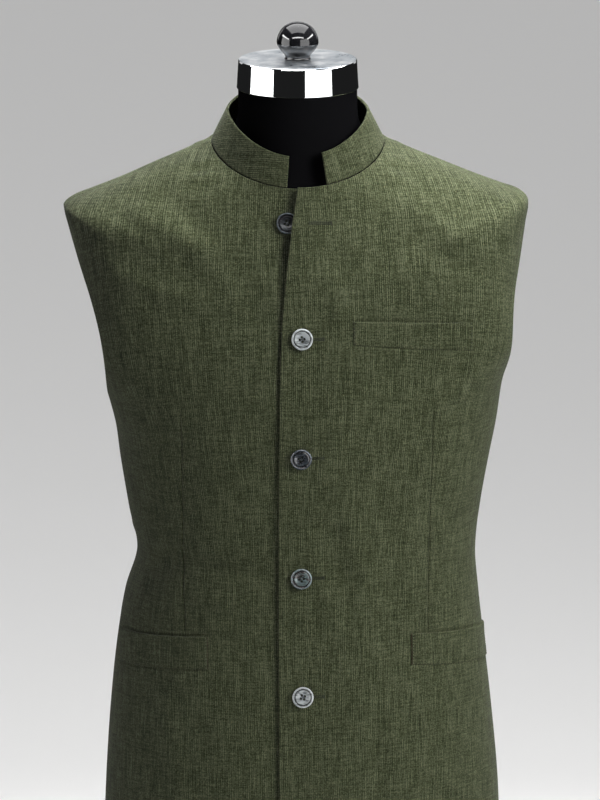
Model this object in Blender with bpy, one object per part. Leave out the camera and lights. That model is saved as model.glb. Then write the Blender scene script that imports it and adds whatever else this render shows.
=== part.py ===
"""A sleeveless Nehru jacket in green linen, buttoned on a limbless dress form with a chrome neck cap.

All tables are in millimetres and are turned into metres once, by metres(). +X is the wearer's left, which
is the viewer's right, +Y is the wearer's back, and +Z is up. The origin lies under the middle of the base.
A drop is how far a place lies below the shoulder's highest point, beside the neck.

The cloth is one smooth surface read from a table of rings. A ring runs round the body, and its angle is 0 at
the centre front, 90 degrees at the left side and 180 at the centre back. A level says how far up the cloth a
ring lies. Each cut piece is a stretch of that surface with its own wall, and 0.3 mm is left at every seam.
"""
import functools
import math
from collections import namedtuple

import bpy
import numpy as np
from mathutils import Matrix, Vector

MM = 0.001


def named(columns, rows):
    """The rows of a table as records whose fields are its columns."""
    Row = namedtuple("Row", columns)
    return [Row(*row) for row in rows]


# The stand and the heights of the whole, in metres
BASE_RADIUS = 0.155
BASE_HEIGHT = 0.012
POLE_RADIUS = 0.014
POLE_HEIGHT = 0.090
TOUCH_GAP = 0.0003
FORM_BELOW_HEM = 0.060
JACKET_LENGTH = 0.700
SHOULDER_HEIGHT = BASE_HEIGHT + POLE_HEIGHT + FORM_BELOW_HEM + JACKET_LENGTH

# The cloth, in millimetres
FRONT_WALL = 2.4
BACK_WALL = 2.0
COLLAR_WALL = 3.0
WELT_WALL = 1.8
SEAM_GAP = 0.3
LAID_ON_GAP = 0.6
UNDER_WRAP_GAP = 0.9
ARMHOLE_FRONT_DEPTH = 58.0
ARMHOLE_BACK_DEPTH = 50.0
# Below 0.7, the armhole is at its widest under its middle
ARMHOLE_LOW_BEND = 0.64

# How finely each piece is drawn
FRONT_COLUMNS = 16
BACK_COLUMNS = 12
COLLAR_COLUMNS = 38
COLLAR_ROWS = 4
FORM_COLUMNS = 32
FORM_LONGEST_STEP = 60
SKIRT_ROWS = 18
ARMHOLE_ROWS = (0.0, 0.03, 0.09, 0.19, 0.33, 0.49, 0.66, 0.82, 0.93, 1.0)
SHOULDER_ROWS = 5
RING_SAMPLES = 241
QUARTER_SAMPLES = 91
# A normal is measured across this much of a turn and this much of a level
NORMAL_TURN = 0.03
NORMAL_RISE = 1.0
SHARP_EDGE = math.radians(40)

# One row for each ring of the jacket. Left and right are the viewer's. The round columns say how square
# the front and the back are in plan, 2 being an ellipse. The tilt says how a ring climbs to the side.
RING_COLUMNS = """place level drop_left drop_right drop_front drop_back
half_left half_right y_side y_front y_back round_front round_back tilt"""
RINGS = named(RING_COLUMNS, (
    ("hem", 0, 700, 700, 700, 700, 185, 193, 0, -122, 118, 2.3, 2.3, 2.0),
    ("skirt", 85, 615, 615, 615, 615, 182, 190, 0, -120, 120, 2.3, 2.3, 2.0),
    ("hip", 160, 540, 540, 540, 540, 177, 183, 0, -118, 119, 2.3, 2.3, 2.0),
    ("pocket", 225, 475, 475, 475, 475, 170, 175.5, 0, -115, 108, 2.3, 2.3, 2.0),
    ("below_waist", 270, 430, 430, 430, 430, 162.5, 170.5, 0, -113, 97, 2.3, 2.3, 2.0),
    ("waist", 308, 392, 392, 392, 392, 151.5, 167.5, 0, -112, 92, 2.3, 2.3, 2.0),
    ("above_waist", 350, 350, 350, 350, 350, 159, 171.5, 0, -114, 95, 2.35, 2.3, 2.0),
    ("ribs", 400, 300, 300, 300, 300, 167, 180, 1, -119, 104, 2.4, 2.4, 2.0),
    ("chest", 433, 267, 263, 267, 267, 171.5, 187, 2, -122.5, 111, 2.45, 2.45, 2.0),
    ("underarm", 458, 242, 228, 241, 240, 178, 192, 4, -124, 115, 2.5, 2.5, 2.0),
    ("arm_low", 511, 190, 180, 195, 186, 195.5, 210, 4, -121, 118, 2.5, 2.5, 2.0),
    ("arm_high", 576, 125, 122, 150, 121, 206, 210, 3, -112, 114, 2.45, 2.45, 2.0),
    ("tip_low", 624, 80, 76, 121, 80, 214.5, 213.5, 2, -104, 104, 2.35, 2.35, 2.0),
    ("tip", 643, 63, 58, 109, 64, 219, 216, 2, -100, 99, 2.3, 2.3, 2.0),
    ("tip_top", 654, 56, 51.5, 103, 56, 213, 210, 1, -97.5, 96, 2.3, 2.3, 2.0),
    ("shoulder_outer", 699, 37, 36.5, 80, 35, 172, 172, 0, -89, 86, 2.2, 2.2, 1.8),
    ("shoulder_inner", 749, 17.5, 17.5, 56, 13, 126, 126, -1, -79.5, 75, 2.1, 2.1, 1.5),
    ("neckline", 798, 0, 0, 33, -8, 81, 81, -2, -71, 66, 2.0, 2.0, 1.2),
))
COLLAR_RINGS = RINGS[-1:] + named(RING_COLUMNS, (
    ("collar_top", 830, -29, -29, 4.5, -46, 66.2, 66.2, 0, -64, 62, 2.0, 2.0, 1.5),
))

# The bare form, whose two sides are alike, so one drop and one half width serve both
FORM_RING_COLUMNS = """place level drop_side drop_front drop_back
half y_side y_front y_back round_front round_back tilt"""
FORM_RINGS = named(FORM_RING_COLUMNS, (
    ("lower_edge", -60, 760, 760, 760, 163, 0, -101, 97, 2.3, 2.3, 2.0),
    ("lower_round", -53, 753, 753, 753, 171, 0, -108.5, 104.5, 2.3, 2.3, 2.0),
    ("hem", 0, 700, 700, 700, 174.5, 0, -111.5, 107.5, 2.3, 2.3, 2.0),
    ("skirt", 85, 615, 615, 615, 171.5, 0, -110, 110, 2.3, 2.3, 2.0),
    ("hip", 160, 540, 540, 540, 167.5, 0, -108.5, 109, 2.3, 2.3, 2.0),
    ("pocket", 225, 475, 475, 475, 160, 0, -105.5, 98.5, 2.3, 2.3, 2.0),
    ("below_waist", 270, 430, 430, 430, 151.5, 0, -103, 88.5, 2.3, 2.3, 2.0),
    ("waist", 308, 392, 392, 392, 144.5, 0, -102, 83.5, 2.3, 2.3, 2.0),
    ("above_waist", 350, 350, 350, 350, 151, 0, -105, 87, 2.35, 2.3, 2.0),
    ("ribs", 400, 300, 300, 300, 159.5, 1, -111, 97, 2.4, 2.4, 2.0),
    ("chest", 445, 255, 255, 255, 164.5, 2, -115.5, 106, 2.45, 2.45, 2.0),
    ("underarm", 485, 215, 218, 215, 170, 4, -117, 111.5, 2.5, 2.5, 2.0),
    ("arm_low", 525, 170, 182, 168, 178, 4, -114, 112.5, 2.5, 2.5, 2.0),
    ("arm_high", 576, 122, 151, 121, 189, 3, -107, 109.5, 2.45, 2.45, 2.0),
    ("shoulder_side", 616, 86, 125, 86, 199, 2, -99.5, 100.5, 2.35, 2.35, 2.0),
    ("shoulder_end", 646, 61, 107, 66, 202, 2, -94.5, 93.5, 2.3, 2.3, 2.0),
    ("shoulder_round", 662, 51.5, 100, 57, 192, 1, -92, 91, 2.3, 2.3, 2.0),
    ("shoulder_outer", 699, 40.6, 83, 38, 172, 0, -85, 82.5, 2.2, 2.2, 1.8),
    ("shoulder_inner", 749, 21.0, 59, 16, 126, -1, -75.5, 71.5, 2.1, 2.1, 1.5),
    ("neckline", 796, 3.6, 38, -3, 79, -2, -65.5, 60.5, 2.0, 2.0, 1.3),
    ("neck_low", 806, -1.0, 27, -11, 67.5, -1, -60.5, 57.0, 2.0, 2.0, 1.3),
    ("neck_middle", 820, -13, 7, -25, 58.5, 0, -56.5, 56, 2.0, 2.0, 1.5),
    ("neck_high", 838, -30, -20, -37, 55.7, 0, -55.6, 55.5, 2.0, 2.0, 1.8),
    ("neck_top", 856, -48.3, -48.3, -48.3, 55.5, 0, -55.5, 55.5, 2.0, 2.0, 2.0),
))

# Where the button edges of the two fronts run: x of the edge at each drop of the centre front.
# The top button is open, so the fronts part above the second one.
FRONT_EDGES = named("drop over_x under_x", (
    (33, -3.0, 10.0),
    (66, -8.8, 10.5),
    (100, -13.5, 13.0),
    (150, -19.2, 18.5),
    (200, -21.4, 21.5),
    (300, -22.5, 22.5),
    (500, -22.6, 22.5),
    (700, -21.5, 22.5),
))
# The over front lies on the under front, and stands off where the open top button lies beneath it.
WRAP_FLAT_TO_X = 28.0
WRAP_CLEAR_BY_X = 92.0
OPEN_TOP_LIFT = 4.3
OPEN_TOP_FLAT_TO = (-6.0, 84.0)
OPEN_TOP_CLEAR_BY = (46.0, 152.0)
COLLAR_LEFT_END_X = -12.7
COLLAR_RIGHT_END_X = 23.4

# The largest soft folds. A height above 0 is a ridge, and below 0 a trough.
FOLDS = named("panel x_from drop_from x_to drop_to width height", (
    ("front", -146, 62, -92, 88, 13, 3.0),
    ("front", -152, 88, -98, 112, 16, -1.6),
    ("front", -126, 42, -100, 60, 12, -1.2),
    ("front", 92, 48, 138, 78, 15, 1.8),
    ("front", 108, 82, 150, 104, 15, -1.2),
    ("front", 46, 346, 66, 412, 13, 2.6),
    ("front", 28, 350, 44, 418, 12, -2.0),
    ("front", 60, 462, 78, 520, 15, 2.0),
    ("front", 92, 330, 104, 372, 13, 1.6),
    ("front", -128, 386, -52, 391, 9, -1.8),
    ("front", -122, 412, -60, 420, 10, 1.6),
    ("front", -146, 250, -140, 300, 14, 1.8),
    ("front", -58, 540, -50, 640, 18, 1.6),
    ("front", 96, 560, 108, 650, 18, 1.8),
    ("back", -88, 366, 78, 374, 13, 2.6),
    ("back", -66, 398, 84, 404, 12, -2.4),
    ("back", -96, 428, 52, 436, 13, 2.0),
    ("back", 66, 150, 138, 222, 18, 2.2),
    ("back", -72, 140, -144, 232, 18, 2.6),
    ("back", 58, 500, 74, 610, 20, 2.2),
    ("back", -84, 520, -96, 640, 20, 2.0),
))

# Welt pockets: each corner's run, measured round the cloth from the centre front, and its drop
WELT_ROWS = 4
WELTS = named("name panel in_run out_run in_top in_bottom out_top out_bottom columns", (
    ("welt_breast", "front_left", 46.5, 162.0, 150.8, 171.8, 156.0, 182.0, 14),
    ("welt_left", "front_left", 103.8, 229.0, 452.1, 481.5, 463.5, 496.0, 18),
    ("welt_right", "front_right", -88.6, -216.5, 452.3, 483.0, 463.0, 493.0, 18),
))

# Buttons: run and drop of the middle, and the front that it lies on
BUTTONS = named("name panel run drop", (
    ("button_1", "front_right", -13.0, 64.0),
    ("button_2", "front_left", -0.4, 166.0),
    ("button_3", "front_left", -1.4, 276.5),
    ("button_4", "front_left", -1.0, 393.5),
    ("button_5", "front_left", 0.0, 506.5),
))
BUTTON_SIDES = 18
# A button's section from the dish in its face out and round to its back: radius and height
BUTTON_FACE = ((6.2, 2.3), (7.6, 3.4), (8.9, 3.6), (10.0, 2.4), (9.4, 0.6), (7.4, 0.0))
BUTTON_MIDDLE = 2.3

# Turned pieces of the stand: radius and height above the piece's own foot
CAP_HEIGHT_MM = 27.5
CAP_PROFILE = ((56.2, 0.0), (56.8, 0.7), (55.2, 26.0), (54.6, 27.2), (53.4, 27.5))
KNOB_PROFILE = (
    (12.4, 0.0), (11.0, 2.6), (12.6, 7.4), (16.2, 10.0), (19.5, 15.0), (18.9, 19.6), (16.6, 25.2),
    (12.4, 30.2), (6.4, 33.3),
)
KNOB_TOP_MM = 34.2
BASE_EDGE = 0.003
FLANGE_RADIUS = 0.036
FLANGE_RIM = 0.006
FLANGE_HEIGHT = 0.010
ROUND_SIDES = 40
SMALL_ROUND_SIDES = 26

# What each piece is made of: colour, roughness and metallic value
FINISHES = {
    "linen": ((0.135, 0.150, 0.085), 0.85, 0.0),
    "pearl": ((0.42, 0.43, 0.41), 0.22, 0.0),
    "form_black": ((0.012, 0.012, 0.013), 0.65, 0.0),
    "chrome": ((0.80, 0.81, 0.82), 0.08, 1.0),
    "gloss_black": ((0.006, 0.006, 0.007), 0.10, 0.0),
    "painted_black": ((0.015, 0.015, 0.016), 0.40, 0.0),
}


def clear_scene():
    for thing in list(bpy.data.objects):
        bpy.data.objects.remove(thing, do_unlink=True)


def metres(points):
    """Turns (x, y, drop) in millimetres into (x, y, z) in metres."""
    points = np.asarray(points, float)
    out = points * MM
    out[..., 2] = SHOULDER_HEIGHT - points[..., 2] * MM
    return out


def smooth_step(value, start, stop):
    """1 up to start, 0 from stop on, and an even curve between."""
    part = np.clip((np.asarray(value, float) - start) / (stop - start), 0.0, 1.0)
    return 1.0 - part * part * (3.0 - 2.0 * part)


def ring_at(rows, level):
    """Every column of a table of rings at a level, on a smooth curve through its rows."""
    table = np.array([row[1:] for row in rows], float)
    knots = table[:, 0]
    level = np.asarray(level, float)
    slopes = np.gradient(table, knots, axis=0)
    low = np.clip(np.searchsorted(knots, level, side="right") - 1, 0, len(knots) - 2)
    width = knots[low + 1] - knots[low]
    part = np.clip((level - knots[low]) / width, 0.0, 1.0)[..., None]
    width = width[..., None]
    rise_0 = (2 * part**3 - 3 * part**2 + 1) * table[low]
    rise_1 = (3 * part**2 - 2 * part**3) * table[low + 1]
    lean_0 = (part**3 - 2 * part**2 + part) * slopes[low] * width
    lean_1 = (part**3 - part**2) * slopes[low + 1] * width
    values = rise_0 + rise_1 + lean_0 + lean_1
    return {name: values[..., index] for index, name in enumerate(rows[0]._fields[1:])}


def ring_shape(angle, half, y_side, y_mid, roundness, drop_side, drop_mid, tilt):
    """(x, y, drop) at an angle of a ring whose half width, depths and drops are given."""
    across = np.abs(np.sin(angle))
    along = np.abs(np.cos(angle))
    x = np.sign(np.sin(angle)) * half * across ** (2.0 / roundness)
    y = y_side + (y_mid - y_side) * along ** (2.0 / roundness)
    drop = drop_side + (drop_mid - drop_side) * along**tilt
    return np.stack([x, y, drop], axis=-1)


def wrapped(angle):
    """The same angle between half a turn back and half a turn on."""
    return (np.asarray(angle, float) + math.pi) % (2 * math.pi) - math.pi


def jacket_surface(angle, level, rows=RINGS):
    """(x, y, drop) of the plain cloth surface, before folds and wraps."""
    angle, level = np.broadcast_arrays(wrapped(angle), level)
    ring = ring_at(rows, level)
    right = angle >= 0
    front = np.abs(angle) <= math.pi / 2
    return ring_shape(
        angle,
        np.where(right, ring["half_right"], ring["half_left"]),
        ring["y_side"],
        np.where(front, ring["y_front"], ring["y_back"]),
        np.where(front, ring["round_front"], ring["round_back"]),
        np.where(right, ring["drop_right"], ring["drop_left"]),
        np.where(front, ring["drop_front"], ring["drop_back"]),
        ring["tilt"],
    )


def collar_surface(angle, level):
    """(x, y, drop) of the stand collar, from the neckline ring up to the collar's top ring."""
    return jacket_surface(angle, level, COLLAR_RINGS)


def normals_of(surface, angle, level, lowest, highest):
    """Outward unit normals of a surface, in (x, y, drop) turned to a true direction in (x, y, z)."""
    upper = np.minimum(level + NORMAL_RISE, highest)
    lower = np.maximum(level - NORMAL_RISE, lowest)
    across = surface(angle + NORMAL_TURN, level) - surface(angle - NORMAL_TURN, level)
    up = surface(angle, upper) - surface(angle, lower)
    flip = np.array([1.0, 1.0, -1.0])
    normal = np.cross(across * flip, up * flip)
    return normal / np.linalg.norm(normal, axis=-1, keepdims=True)


def moved_out(points, normals, distance):
    """Points moved along their normals; a drop grows downwards, so its part is taken away."""
    step = normals * np.asarray(distance, float)[..., None]
    return points + step * np.array([1.0, 1.0, -1.0])


def fold_height(points, front):
    """How far the soft folds lift the cloth at each place."""
    lift = np.zeros(points.shape[:-1])
    for fold in FOLDS:
        start = np.array([fold.x_from, fold.drop_from], float)
        run = np.array([fold.x_to, fold.drop_to], float) - start
        place = points[..., [0, 2]] - start
        part = np.clip(place @ run / (run @ run), 0.0, 1.0)
        away = np.linalg.norm(place - part[..., None] * run, axis=-1)
        on_panel = front == (fold.panel == "front")
        lift += np.where(on_panel, fold.height * np.exp(-((away / fold.width) ** 2)), 0.0)
    return lift


def wrap_lift(points):
    """How far the over front stands off the plain surface, over the under front and its top button."""
    lies_on = FRONT_WALL + UNDER_WRAP_GAP
    lift = lies_on * smooth_step(points[..., 0], WRAP_FLAT_TO_X, WRAP_CLEAR_BY_X)
    across = smooth_step(points[..., 0], OPEN_TOP_FLAT_TO[0], OPEN_TOP_CLEAR_BY[0])
    down = smooth_step(points[..., 2], OPEN_TOP_FLAT_TO[1], OPEN_TOP_CLEAR_BY[1])
    return lift + OPEN_TOP_LIFT * across * down


def cloth_surface(angle, level, over=False):
    """(points, normals) of the cloth's outer face with its folds and, on the over front, its wrap."""
    points = jacket_surface(angle, level)
    normals = normals_of(jacket_surface, angle, level, RINGS[0].level, RINGS[-1].level)
    front = np.abs(wrapped(angle)) <= math.pi / 2
    lift = fold_height(points, front)
    if over:
        lift = lift + wrap_lift(points)
    return moved_out(points, normals, lift), normals


def angle_of_x(x, level):
    """The angle on the front at which the ring at this level reaches x."""
    ring = ring_at(RINGS, level)
    half = ring["half_right" if x > 0 else "half_left"]
    return math.copysign(math.asin(min(1.0, (abs(x) / half) ** (ring["round_front"] / 2.0))), x)


def level_of(place):
    """The level of a named ring."""
    return next(float(row.level) for row in RINGS if row.place == place)


def angle_of_armhole(level, front):
    """How far from the side, as an angle, the armhole's edge lies at a level: 0 at the seams."""
    part = (level - level_of("underarm")) / (level_of("tip") - level_of("underarm"))
    if part <= 0.0 or part >= 1.0:
        return 0.0
    depth = ARMHOLE_FRONT_DEPTH if front else ARMHOLE_BACK_DEPTH
    depth *= math.sin(math.pi * part**ARMHOLE_LOW_BEND)
    ring = ring_at(RINGS, level)
    reach = abs(ring["y_front" if front else "y_back"] - ring["y_side"])
    roundness = ring["round_front" if front else "round_back"]
    return math.asin(min(1.0, (depth / reach) ** (roundness / 2.0)))


def even_angles(start, stop, level, count, gap_start, gap_stop, surface=jacket_surface):
    """Angles between two others, at even steps along the cloth, with a gap kept at either end."""
    angles = np.linspace(start, stop, RING_SAMPLES)
    points = surface(angles, level)
    steps = np.linalg.norm(np.diff(points, axis=0), axis=1)
    run = np.concatenate([[0.0], np.cumsum(steps)])
    return np.interp(np.linspace(gap_start, run[-1] - gap_stop, count), run, angles)


def body_levels():
    """The levels of the rows that every body piece shares: close together where the cloth turns."""
    underarm = level_of("underarm")
    skirt = np.linspace(0.0, underarm, SKIRT_ROWS)[:-1]
    armhole = underarm + (level_of("tip") - underarm) * np.array(ARMHOLE_ROWS)
    top = level_of("neckline") - SEAM_GAP / 2
    shoulder = np.linspace(level_of("tip_top"), top, SHOULDER_ROWS + 1)
    return np.concatenate([skirt, armhole, shoulder])


def front_edge_x(level, over):
    """x of a front's button edge at a level."""
    drop = ring_at(RINGS, level)["drop_front"]
    edges = [row.over_x if over else row.under_x for row in FRONT_EDGES]
    return float(np.interp(drop, [row.drop for row in FRONT_EDGES], edges))


def front_angles(side, over):
    """Rows of angles for one front, from its button edge to the side seam, armhole or shoulder seam."""
    rows = []
    for level in body_levels():
        edge = angle_of_x(front_edge_x(level, over), level)
        end = side * (math.pi / 2 - angle_of_armhole(level, front=True))
        rows.append(even_angles(edge, end, level, FRONT_COLUMNS, 0.0, SEAM_GAP / 2))
    return np.array(rows)


def back_angles(side):
    """Rows of angles for one back, from the centre back seam to the side."""
    rows = []
    for level in body_levels():
        end = side * (math.pi / 2 + angle_of_armhole(level, front=False))
        rows.append(even_angles(side * math.pi, end, level, BACK_COLUMNS, SEAM_GAP / 2, SEAM_GAP / 2))
    return np.array(rows)


def grid_wall(outer, inner):
    """Vertices and faces of a closed wall between two grids of points that share their rows and columns."""
    rows, columns = outer.shape[:2]
    count = rows * columns

    def at(row, column, inside):
        return row * columns + column + (count if inside else 0)

    faces = []
    for row in range(rows - 1):
        for column in range(columns - 1):
            faces.append([at(row, column, False), at(row, column + 1, False),
                          at(row + 1, column + 1, False), at(row + 1, column, False)])
            faces.append([at(row + 1, column, True), at(row + 1, column + 1, True),
                          at(row, column + 1, True), at(row, column, True)])
    rim = [(0, column) for column in range(columns)]
    rim += [(row, columns - 1) for row in range(1, rows)]
    rim += [(rows - 1, column) for column in range(columns - 2, -1, -1)]
    rim += [(row, 0) for row in range(rows - 2, 0, -1)]
    for here, there in zip(rim, rim[1:] + rim[:1]):
        faces.append([at(*here, True), at(*there, True), at(*there, False), at(*here, False)])
    return np.concatenate([outer.reshape(-1, 3), inner.reshape(-1, 3)]), faces


def finish_material(name):
    material = bpy.data.materials.get(name)
    if material is None:
        colour, roughness, metallic = FINISHES[name]
        material = bpy.data.materials.new(name)
        material.use_nodes = True
        shader = material.node_tree.nodes["Principled BSDF"]
        shader.inputs["Base Color"].default_value = (*colour, 1.0)
        shader.inputs["Roughness"].default_value = roughness
        shader.inputs["Metallic"].default_value = metallic
    return material


def add_object(name, vertices, faces, finish):
    """A new object from vertices in metres, with smooth faces and its edges kept sharp."""
    mesh = bpy.data.meshes.new(name)
    mesh.from_pydata([tuple(map(float, vertex)) for vertex in vertices], [], faces)
    mesh.validate()
    mesh.shade_smooth()
    mesh.set_sharp_from_angle(angle=SHARP_EDGE)
    mesh.materials.append(finish_material(finish))
    thing = bpy.data.objects.new(name, mesh)
    bpy.context.scene.collection.objects.link(thing)
    return thing


def add_wall(name, outer, normals, wall, facing_out, finish):
    """A cloth piece: its outer face, and an inner face one wall further in."""
    inner = moved_out(outer, normals, -wall * np.ones(outer.shape[:-1]))
    if not facing_out:
        outer, inner = outer[:, ::-1], inner[:, ::-1]
    vertices, faces = grid_wall(metres(outer), metres(inner))
    return add_object(name, vertices, faces, finish)


def add_body_piece(name, angles, wall, over=False):
    levels = np.broadcast_to(body_levels()[:, None], angles.shape)
    points, normals = cloth_surface(angles, levels, over)
    return add_wall(name, points, normals, wall, angles[0, -1] > angles[0, 0], "linen")


def add_fronts_and_backs():
    add_body_piece("front_left", front_angles(1, over=True), FRONT_WALL, over=True)
    add_body_piece("front_right", front_angles(-1, over=False), FRONT_WALL)
    add_body_piece("back_left", back_angles(1), BACK_WALL)
    add_body_piece("back_right", back_angles(-1), BACK_WALL)


def add_collar():
    """One band from the left end, round the back of the neck, to the right end on the over front."""
    neckline = level_of("neckline")
    top = COLLAR_RINGS[-1].level
    start = angle_of_x(COLLAR_LEFT_END_X, neckline)
    stop = angle_of_x(COLLAR_RIGHT_END_X, neckline) - 2 * math.pi
    row = even_angles(start, stop, neckline, COLLAR_COLUMNS, 0.0, 0.0)
    angles = np.broadcast_to(row, (COLLAR_ROWS, COLLAR_COLUMNS))
    rows = np.linspace(neckline + SEAM_GAP / 2, top, COLLAR_ROWS)
    levels = np.broadcast_to(rows[:, None], angles.shape)
    points = collar_surface(angles, levels)
    normals = normals_of(collar_surface, angles, levels, neckline, top)
    seam = jacket_surface(angles, neckline)
    seam_normals = normals_of(jacket_surface, angles, np.full(angles.shape, neckline), 0.0, neckline)
    on_left = wrapped(angles) > 0
    front = np.abs(wrapped(angles)) <= math.pi / 2
    lift = np.where(on_left & front, wrap_lift(seam), 0.0)
    points = moved_out(points, seam_normals, lift)
    add_wall("collar", points, normals, COLLAR_WALL, False, "linen")


@functools.lru_cache(maxsize=2)
def front_samples(side):
    """Angles, levels and drops sampled over one half of the front."""
    angles = side * np.linspace(0.0, math.pi / 2, QUARTER_SAMPLES)
    levels = np.linspace(RINGS[0].level, RINGS[-1].level, RING_SAMPLES)
    drops = jacket_surface(angles[:, None], levels[None, :])[..., 2]
    return angles, levels, drops


def front_place(run, drop):
    """(angle, level) of the place that lies run millimetres round from the centre front, at a drop."""
    angles, levels, drops = front_samples(1 if run >= 0 else -1)
    here = np.array([np.interp(-drop, -row, levels) for row in drops])
    points = jacket_surface(angles, here)
    steps = np.linalg.norm(np.diff(points, axis=0), axis=1)
    measured = np.concatenate([[0.0], np.cumsum(steps)])
    return np.interp(abs(run), measured, angles), np.interp(abs(run), measured, here)


def add_welts():
    """Pocket welts, each a strip of its front's own surface moved out by its gap and its wall."""
    for welt in WELTS:
        over = welt.panel == "front_left"
        part = np.linspace(0.0, 1.0, welt.columns)
        up = np.linspace(0.0, 1.0, WELT_ROWS)[:, None]
        run = np.broadcast_to(welt.in_run + (welt.out_run - welt.in_run) * part, (WELT_ROWS, welt.columns))
        top = welt.in_top + (welt.out_top - welt.in_top) * part
        bottom = welt.in_bottom + (welt.out_bottom - welt.in_bottom) * part
        drop = bottom + (top - bottom) * up
        places = np.array([front_place(*place) for place in zip(run.ravel(), drop.ravel())])
        angle, level = places.T.reshape(2, WELT_ROWS, welt.columns)
        points, normals = cloth_surface(angle, level, over)
        outer = moved_out(points, normals, np.full(run.shape, LAID_ON_GAP + WELT_WALL))
        add_wall(welt.name, outer, normals, WELT_WALL, over, "linen")


def turned_mesh(profile, sides, top_centre):
    """A closed turned solid: rings of (radius, height) with a middle point at its foot and at its top."""
    vertices = []
    for radius, height in profile:
        for step in range(sides):
            angle = 2 * math.pi * step / sides
            vertices.append((radius * math.cos(angle), radius * math.sin(angle), height))
    faces = []
    for ring in range(len(profile) - 1):
        for step in range(sides):
            after = (step + 1) % sides
            here = ring * sides
            there = here + sides
            faces.append([here + step, here + after, there + after, there + step])
    foot = len(vertices)
    vertices.append((0.0, 0.0, 0.0))
    top = len(vertices)
    vertices.append((0.0, 0.0, top_centre))
    last = (len(profile) - 1) * sides
    for step in range(sides):
        after = (step + 1) % sides
        faces.append([foot, after, step])
        faces.append([top, last + step, last + after])
    return vertices, faces


def add_buttons():
    """Each button is turned about its own middle, then laid on its front with its face out."""
    profile = [(radius * MM, height * MM) for radius, height in reversed(BUTTON_FACE)]
    for button in BUTTONS:
        angle, level = front_place(button.run, button.drop)
        point, normal = cloth_surface(angle, level, over=button.panel == "front_left")
        seat = moved_out(point, normal, LAID_ON_GAP)
        vertices, faces = turned_mesh(profile, BUTTON_SIDES, BUTTON_MIDDLE * MM)
        disc = add_object(button.name, vertices, faces, "pearl")
        out = Vector(normal)
        across = Vector((0.0, 0.0, 1.0)).cross(out).normalized()
        turn = Matrix((across, out.cross(across), out)).transposed()
        disc.matrix_world = Matrix.Translation(Vector(metres(seat))) @ turn.to_4x4()


def form_ring_points(level):
    """One ring of the bare form, as points in metres."""
    angles = wrapped(np.linspace(0.0, 2 * math.pi, FORM_COLUMNS, endpoint=False))
    ring = ring_at(FORM_RINGS, level)
    front = np.abs(angles) <= math.pi / 2
    points = ring_shape(
        angles,
        ring["half"],
        ring["y_side"],
        np.where(front, ring["y_front"], ring["y_back"]),
        np.where(front, ring["round_front"], ring["round_back"]),
        ring["drop_side"],
        np.where(front, ring["drop_front"], ring["drop_back"]),
        ring["tilt"],
    )
    return metres(points)


def add_form():
    """The torso and neck in one smooth closed piece, flat underneath and at the top of the neck."""
    levels = [row.level for row in FORM_RINGS]
    pairs = zip(levels, levels[1:])
    between = [(low + high) / 2 for low, high in pairs if high - low > FORM_LONGEST_STEP]
    rings = [form_ring_points(level) for level in sorted(levels + between)]
    vertices = [tuple(point) for ring in rings for point in ring]
    faces = []
    for ring in range(len(rings) - 1):
        for step in range(FORM_COLUMNS):
            after = (step + 1) % FORM_COLUMNS
            here = ring * FORM_COLUMNS
            there = here + FORM_COLUMNS
            faces.append([here + step, here + after, there + after, there + step])
    last = (len(rings) - 1) * FORM_COLUMNS
    vertices.append((0.0, 0.0, rings[0][0][2]))
    vertices.append((0.0, 0.0, rings[-1][0][2]))
    for step in range(FORM_COLUMNS):
        after = (step + 1) % FORM_COLUMNS
        faces.append([len(vertices) - 2, after, step])
        faces.append([len(vertices) - 1, last + step, last + after])
    add_object("form_torso", vertices, faces, "form_black")


def add_turned(name, profile, foot_z, top_centre, finish, parent, sides=ROUND_SIDES):
    vertices, faces = turned_mesh(profile, sides, top_centre)
    piece = add_object(name, vertices, faces, finish)
    piece.location = (0.0, 0.0, foot_z)
    piece.parent = parent
    return piece


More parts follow.
